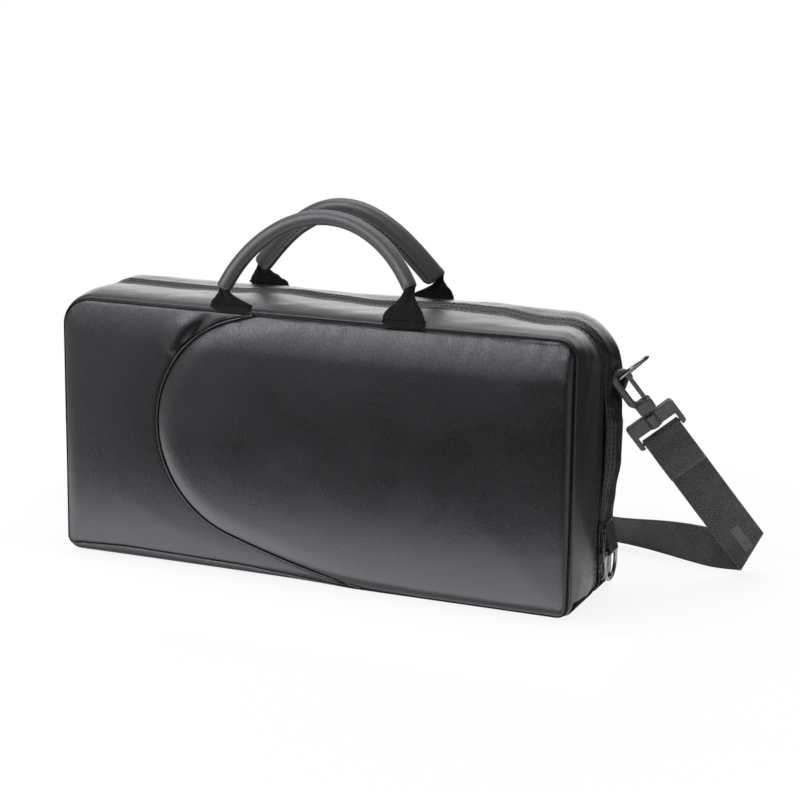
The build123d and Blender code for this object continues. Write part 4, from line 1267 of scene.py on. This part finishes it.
# The hanging part's way down, its way across and its normal, then the right hook's eye and bar.
down = unit((0.455, 0.44, -0.775))
over = np.array((0.732, 0.312, 0.606))
over = unit(over - down * (over @ down))
face_way = np.cross(down, over)
eye = np.array((204.0, 29.3, 155.0)) + down * 1.0
bar = eye + down * 52.7
heading = np.array((math.cos(math.radians(HEADING)), math.sin(math.radians(HEADING)), 0.0))
crease_way = unit(np.cross(face_way, down - heading))
crease_way = crease_way if crease_way @ over > 0 else -crease_way
crease = math.degrees(math.acos(crease_way @ down))
flat_in, flat_out = (unit(v - crease_way * (crease_way @ v)) for v in (down, heading))
fold_angle = -math.degrees(math.acos(flat_in @ flat_out))

trial = Webbing((0, 0, 0), down, over)
trial.fold(fold_angle, FOLD_R, 10, crease)
strap_run = ((bar - face_way * BAR_R)[2] + trial.middle[2] - STRAP_HALF - CLEAR) / -down[2]


def half_strap(inner_run, bow_from=None):
    """Half the strap, from its free end at the right hook to the middle of the back. It starts with the inner
    layer's run, and it lies in a shallow bow after bow_from if that is given."""
    half = Webbing(bar + face_way * BAR_R + down * inner_run, -down, over)
    half.mark()
    half.run(inner_run, before=4, after=2, gap=4)
    half.fold(180, BAR_R, steps=12)
    if bow_from is None:
        half.run(strap_run, before=4, after=13)
    else:
        half.run(bow_from)
        half.bow(strap_run - bow_from - SHORT)
        half.skip(SHORT)
    half.fold(fold_angle, FOLD_R, 14, crease)
    half.leans_after = half.length + LEAN_FROM
    half.skip(SHORT)
    half.fold(TURN, 50.0, steps=8)
    turn_left = 180 - HEADING + TURN
    long_radius = half.middle[0] / math.sin(math.radians(turn_left))
    half.fold(-turn_left, long_radius, steps=44)
    return half


right_half, left_half = half_strap(34.0, bow_from=38.0), half_strap(92.0)
flip = np.array((-1.0, 1.0, 1.0))
rulings = list(right_half.rulings)
total = right_half.length + left_half.length
for middle, reach, normal, at, skew in left_half.rulings[::-1][1:]:
    rulings.append((middle * flip, reach * flip, normal * flip, total - at, -skew))


def strap_section(thick):
    """(across, off) round a strip of webbing with rounded selvages, across from -1 to 1."""
    rim = [0.9995, 0.994, 0.98, 0.955, 0.92]
    side = np.concatenate([rim, np.linspace(0.86, -0.86, 18), -np.array(rim[::-1])])
    inset = clamp((1 - np.abs(side)) / 0.045)
    selvage = 1 + 0.16 * bell(np.abs(side) - 0.93, 0.035)
    half = thick / 2 * (1 - (1 - inset) ** 2) ** 0.5 * selvage
    return np.concatenate([np.stack([side, half], 1), np.stack([side[::-1], -half[::-1]], 1)])


def strap_settle(at):
    """How far the webbing lies off its plain line: the sewn end closes on the layer under it."""
    ended = clamp((27 - at) / 13)
    close = -2.75 * ease(ended)
    free = clamp((at - 215) / 40) * clamp((total - 215 - at) / 40)
    return close + 0.7 * free * wander(at, 150, 71)


def strap_mesh(name, thick):
    """The whole strap as one closed band through its rulings."""
    section = strap_section(thick)
    middles, reaches, normals, at, skew = (np.array(column) for column in zip(*rulings))
    normals = unit(normals)
    middles = middles + normals * strap_settle(at)[:, None]
    side, off = section[None, :, :1], section[None, :, 1:]
    grid = middles[:, None] + reaches[:, None] * side + normals[:, None] * off
    u = at[:, None] + skew[:, None] * section[None, :, 0]
    v = np.broadcast_to(section[None, :, 0] * STRAP_HALF, u.shape)
    return tube(name, grid, np.stack([u, v], -1), webbing)


strap = place(strap_mesh("shoulder_strap_webbing", STRAP_THICK), "tray", "webbing", "strap")

# ---- The frame's own shapes that show ----
for names, material in (
    (("lid_shell", "tray_shell"), board_cloth),
    (("accessory_pull",), ribbon_cloth),
    (("zip_stops_lid", "zip_stops_tray"), zip_metal),
    (("upper_ring_right", "upper_ring_left", "lower_ring_right", "lower_ring_left"), ring_metal),
):
    for name in names:
        held = nodes[name].data.materials
        held.clear()
        held.append(material)


# ---- Floor, light and camera ----
def floor():
    """A pale board that turns into the white background further out and keeps the case's shadow."""
    p = Paint("studio_floor")
    at = p.where()
    far = p.node("VectorMath", out="Value", put={0: at}, operation="LENGTH")
    tone = p.mix(p.noise(at, 3.0, 2.0), grey(0.83), grey(0.86))
    board = p.node("BsdfPrincipled", put={"Base Color": tone, "Roughness": 0.6, "Specular IOR Level": 0.2})
    glow = p.node("Emission", put={"Color": (1, 1, 1, 1)})
    seen = p.maths("ADD", p.ray("Camera"), p.ray("Glossy"), clamp=True)
    seen = p.maths("ADD", seen, p.ray("Transmission"), clamp=True)
    share = far.ramp(0.30, 0.50, 0.88, 1.0) * seen
    p.node("OutputMaterial", put={"Surface": p.node("MixShader", put={0: share, 1: board, 2: glow})})
    n = 33
    xs = np.linspace(-12000, 12000, n)
    grid = np.stack([*np.meshgrid(xs, xs, indexing="ij"), np.zeros((n, n))], -1)
    piece = make("floor", grid.reshape(-1, 3), lattice((n, n)), p.made)
    piece.location.z = -0.0004


def lamp(name, spot, aim, size, power):
    data = bpy.data.lights.new(name, "AREA")
    data.shape, data.size, data.size_y, data.energy = "RECTANGLE", size[0], size[1], power
    piece = bpy.data.objects.new(name, data)
    piece.location = spot
    piece.rotation_euler = (Vector(aim) - Vector(spot)).to_track_quat("-Z", "Y").to_euler()
    bpy.context.scene.collection.objects.link(piece)


def card(name, corners, level):
    """A studio card that only reflections see: black at level 0, glowing white above it."""
    p = Paint(name)
    patch = p.mix(p.noise(p.where(), 2.0), grey(level * 0.96), grey(level * 1.04))
    p.node("OutputMaterial", put={"Surface": p.node("Emission", put={"Color": patch})})
    piece = make(name, corners, [[0, 1, 2, 3]], p.made, smooth=False)
    piece.visible_camera = piece.visible_diffuse = piece.visible_shadow = piece.visible_transmission = False


def lying(x0, x1, y0, y1, z):
    return [(x0, y0, z), (x1, y0, z), (x1, y1, z), (x0, y1, z)]


def upright(x0, x1, y0, y1, z0, z1):
    """Corners of an upright card from (x0, y0) to (x1, y1)."""
    return [(x0, y0, z0), (x1, y1, z0), (x1, y1, z1), (x0, y0, z1)]


def surroundings():
    """White all round for the camera, dim as a light, and for reflections white only behind the case."""
    p = Paint("studio", "worlds")
    bpy.context.scene.world = p.made
    put = {0: p.node("TexCoord", out="Generated"), 1: tuple(unit((-0.45, 0.87, 0.15)))}
    dot = p.node("VectorMath", out="Value", put=put, operation="DOT_PRODUCT")
    put = {"Value": dot, "From Min": 0.76, "From Max": 0.985, "To Min": 0.12, "To Max": 1.0}
    behind = p.node("MapRange", put=put, interpolation_type="SMOOTHSTEP")
    mirrored = p.maths("ADD", p.ray("Glossy"), p.ray("Transmission"), clamp=True)
    soft = mirrored * behind + (1.0 - mirrored) * 0.30
    low = p.node("Background", put={"Color": (0.97, 0.98, 1.0, 1), "Strength": soft})
    white = p.node("Background", put={"Color": (1, 1, 1, 1), "Strength": 1.0})
    p.node("OutputWorld", put={"Surface": p.node("MixShader", put={0: p.ray("Camera"), 1: low, 2: white})})


def camera():
    """The photograph's view."""
    yaw, pitch, roll = (math.radians(v) for v in (22.47, 13.02, 0.8))
    forward = Vector((-math.sin(yaw) * math.cos(pitch), math.cos(yaw) * math.cos(pitch), -math.sin(pitch)))
    right0 = Vector((math.cos(yaw), math.sin(yaw), 0))
    up0 = right0.cross(forward)
    right = right0 * math.cos(roll) + up0 * math.sin(roll)
    up = up0 * math.cos(roll) - right0 * math.sin(roll)
    data = bpy.data.cameras.new("camera")
    data.sensor_width, data.sensor_fit, data.lens = 36.0, "HORIZONTAL", 98.40
    data.clip_start, data.clip_end = 0.05, 50
    piece = bpy.data.objects.new("camera", data)
    turned = Matrix((right, up, -forward)).transposed()
    piece.matrix_world = Matrix.Translation((0.6306, -1.4036, 0.4808)) @ turned.to_4x4()
    bpy.context.scene.collection.objects.link(piece)
    bpy.context.scene.camera = piece


floor()
surroundings()
lamp("top", spot=(-0.1, 0.25, 1.5), aim=(0.0, 0, 0.1), size=(1.6, 1.0), power=20)
lamp("key", spot=(-0.9, -1.2, 1.1), aim=(-0.05, 0, 0.12), size=(0.8, 0.8), power=16)
card("bounce_card", lying(-450, 250, -165, -58, 2.0), 3.8)
card("front_flag", lying(-350, 600, -1600, -178, 3.0), 0.0)
card("side_flag", lying(206, 1200, 150, 1400, 3.0), 0.06)
card("rear_flag", lying(0, 205, 200, 1000, 3.0), 0.06)
card("far_flag", upright(250, 1300, 900, 700, 0, 300), 0.03)
card("corner_card", upright(230, 620, 1100, 1100, 400, 900), 1.7)
card("rear_card_high", upright(-700, -40, 1200, 1200, 640, 1050), 1.2)
card("front_card", upright(-1500, 200, -1500, -1500, 320, 1300), 4.2)
card("rear_card", upright(-1300, 150, 1200, 1200, 120, 640), 2.35)
camera()
bpy.context.scene.view_settings.view_transform = "Standard"
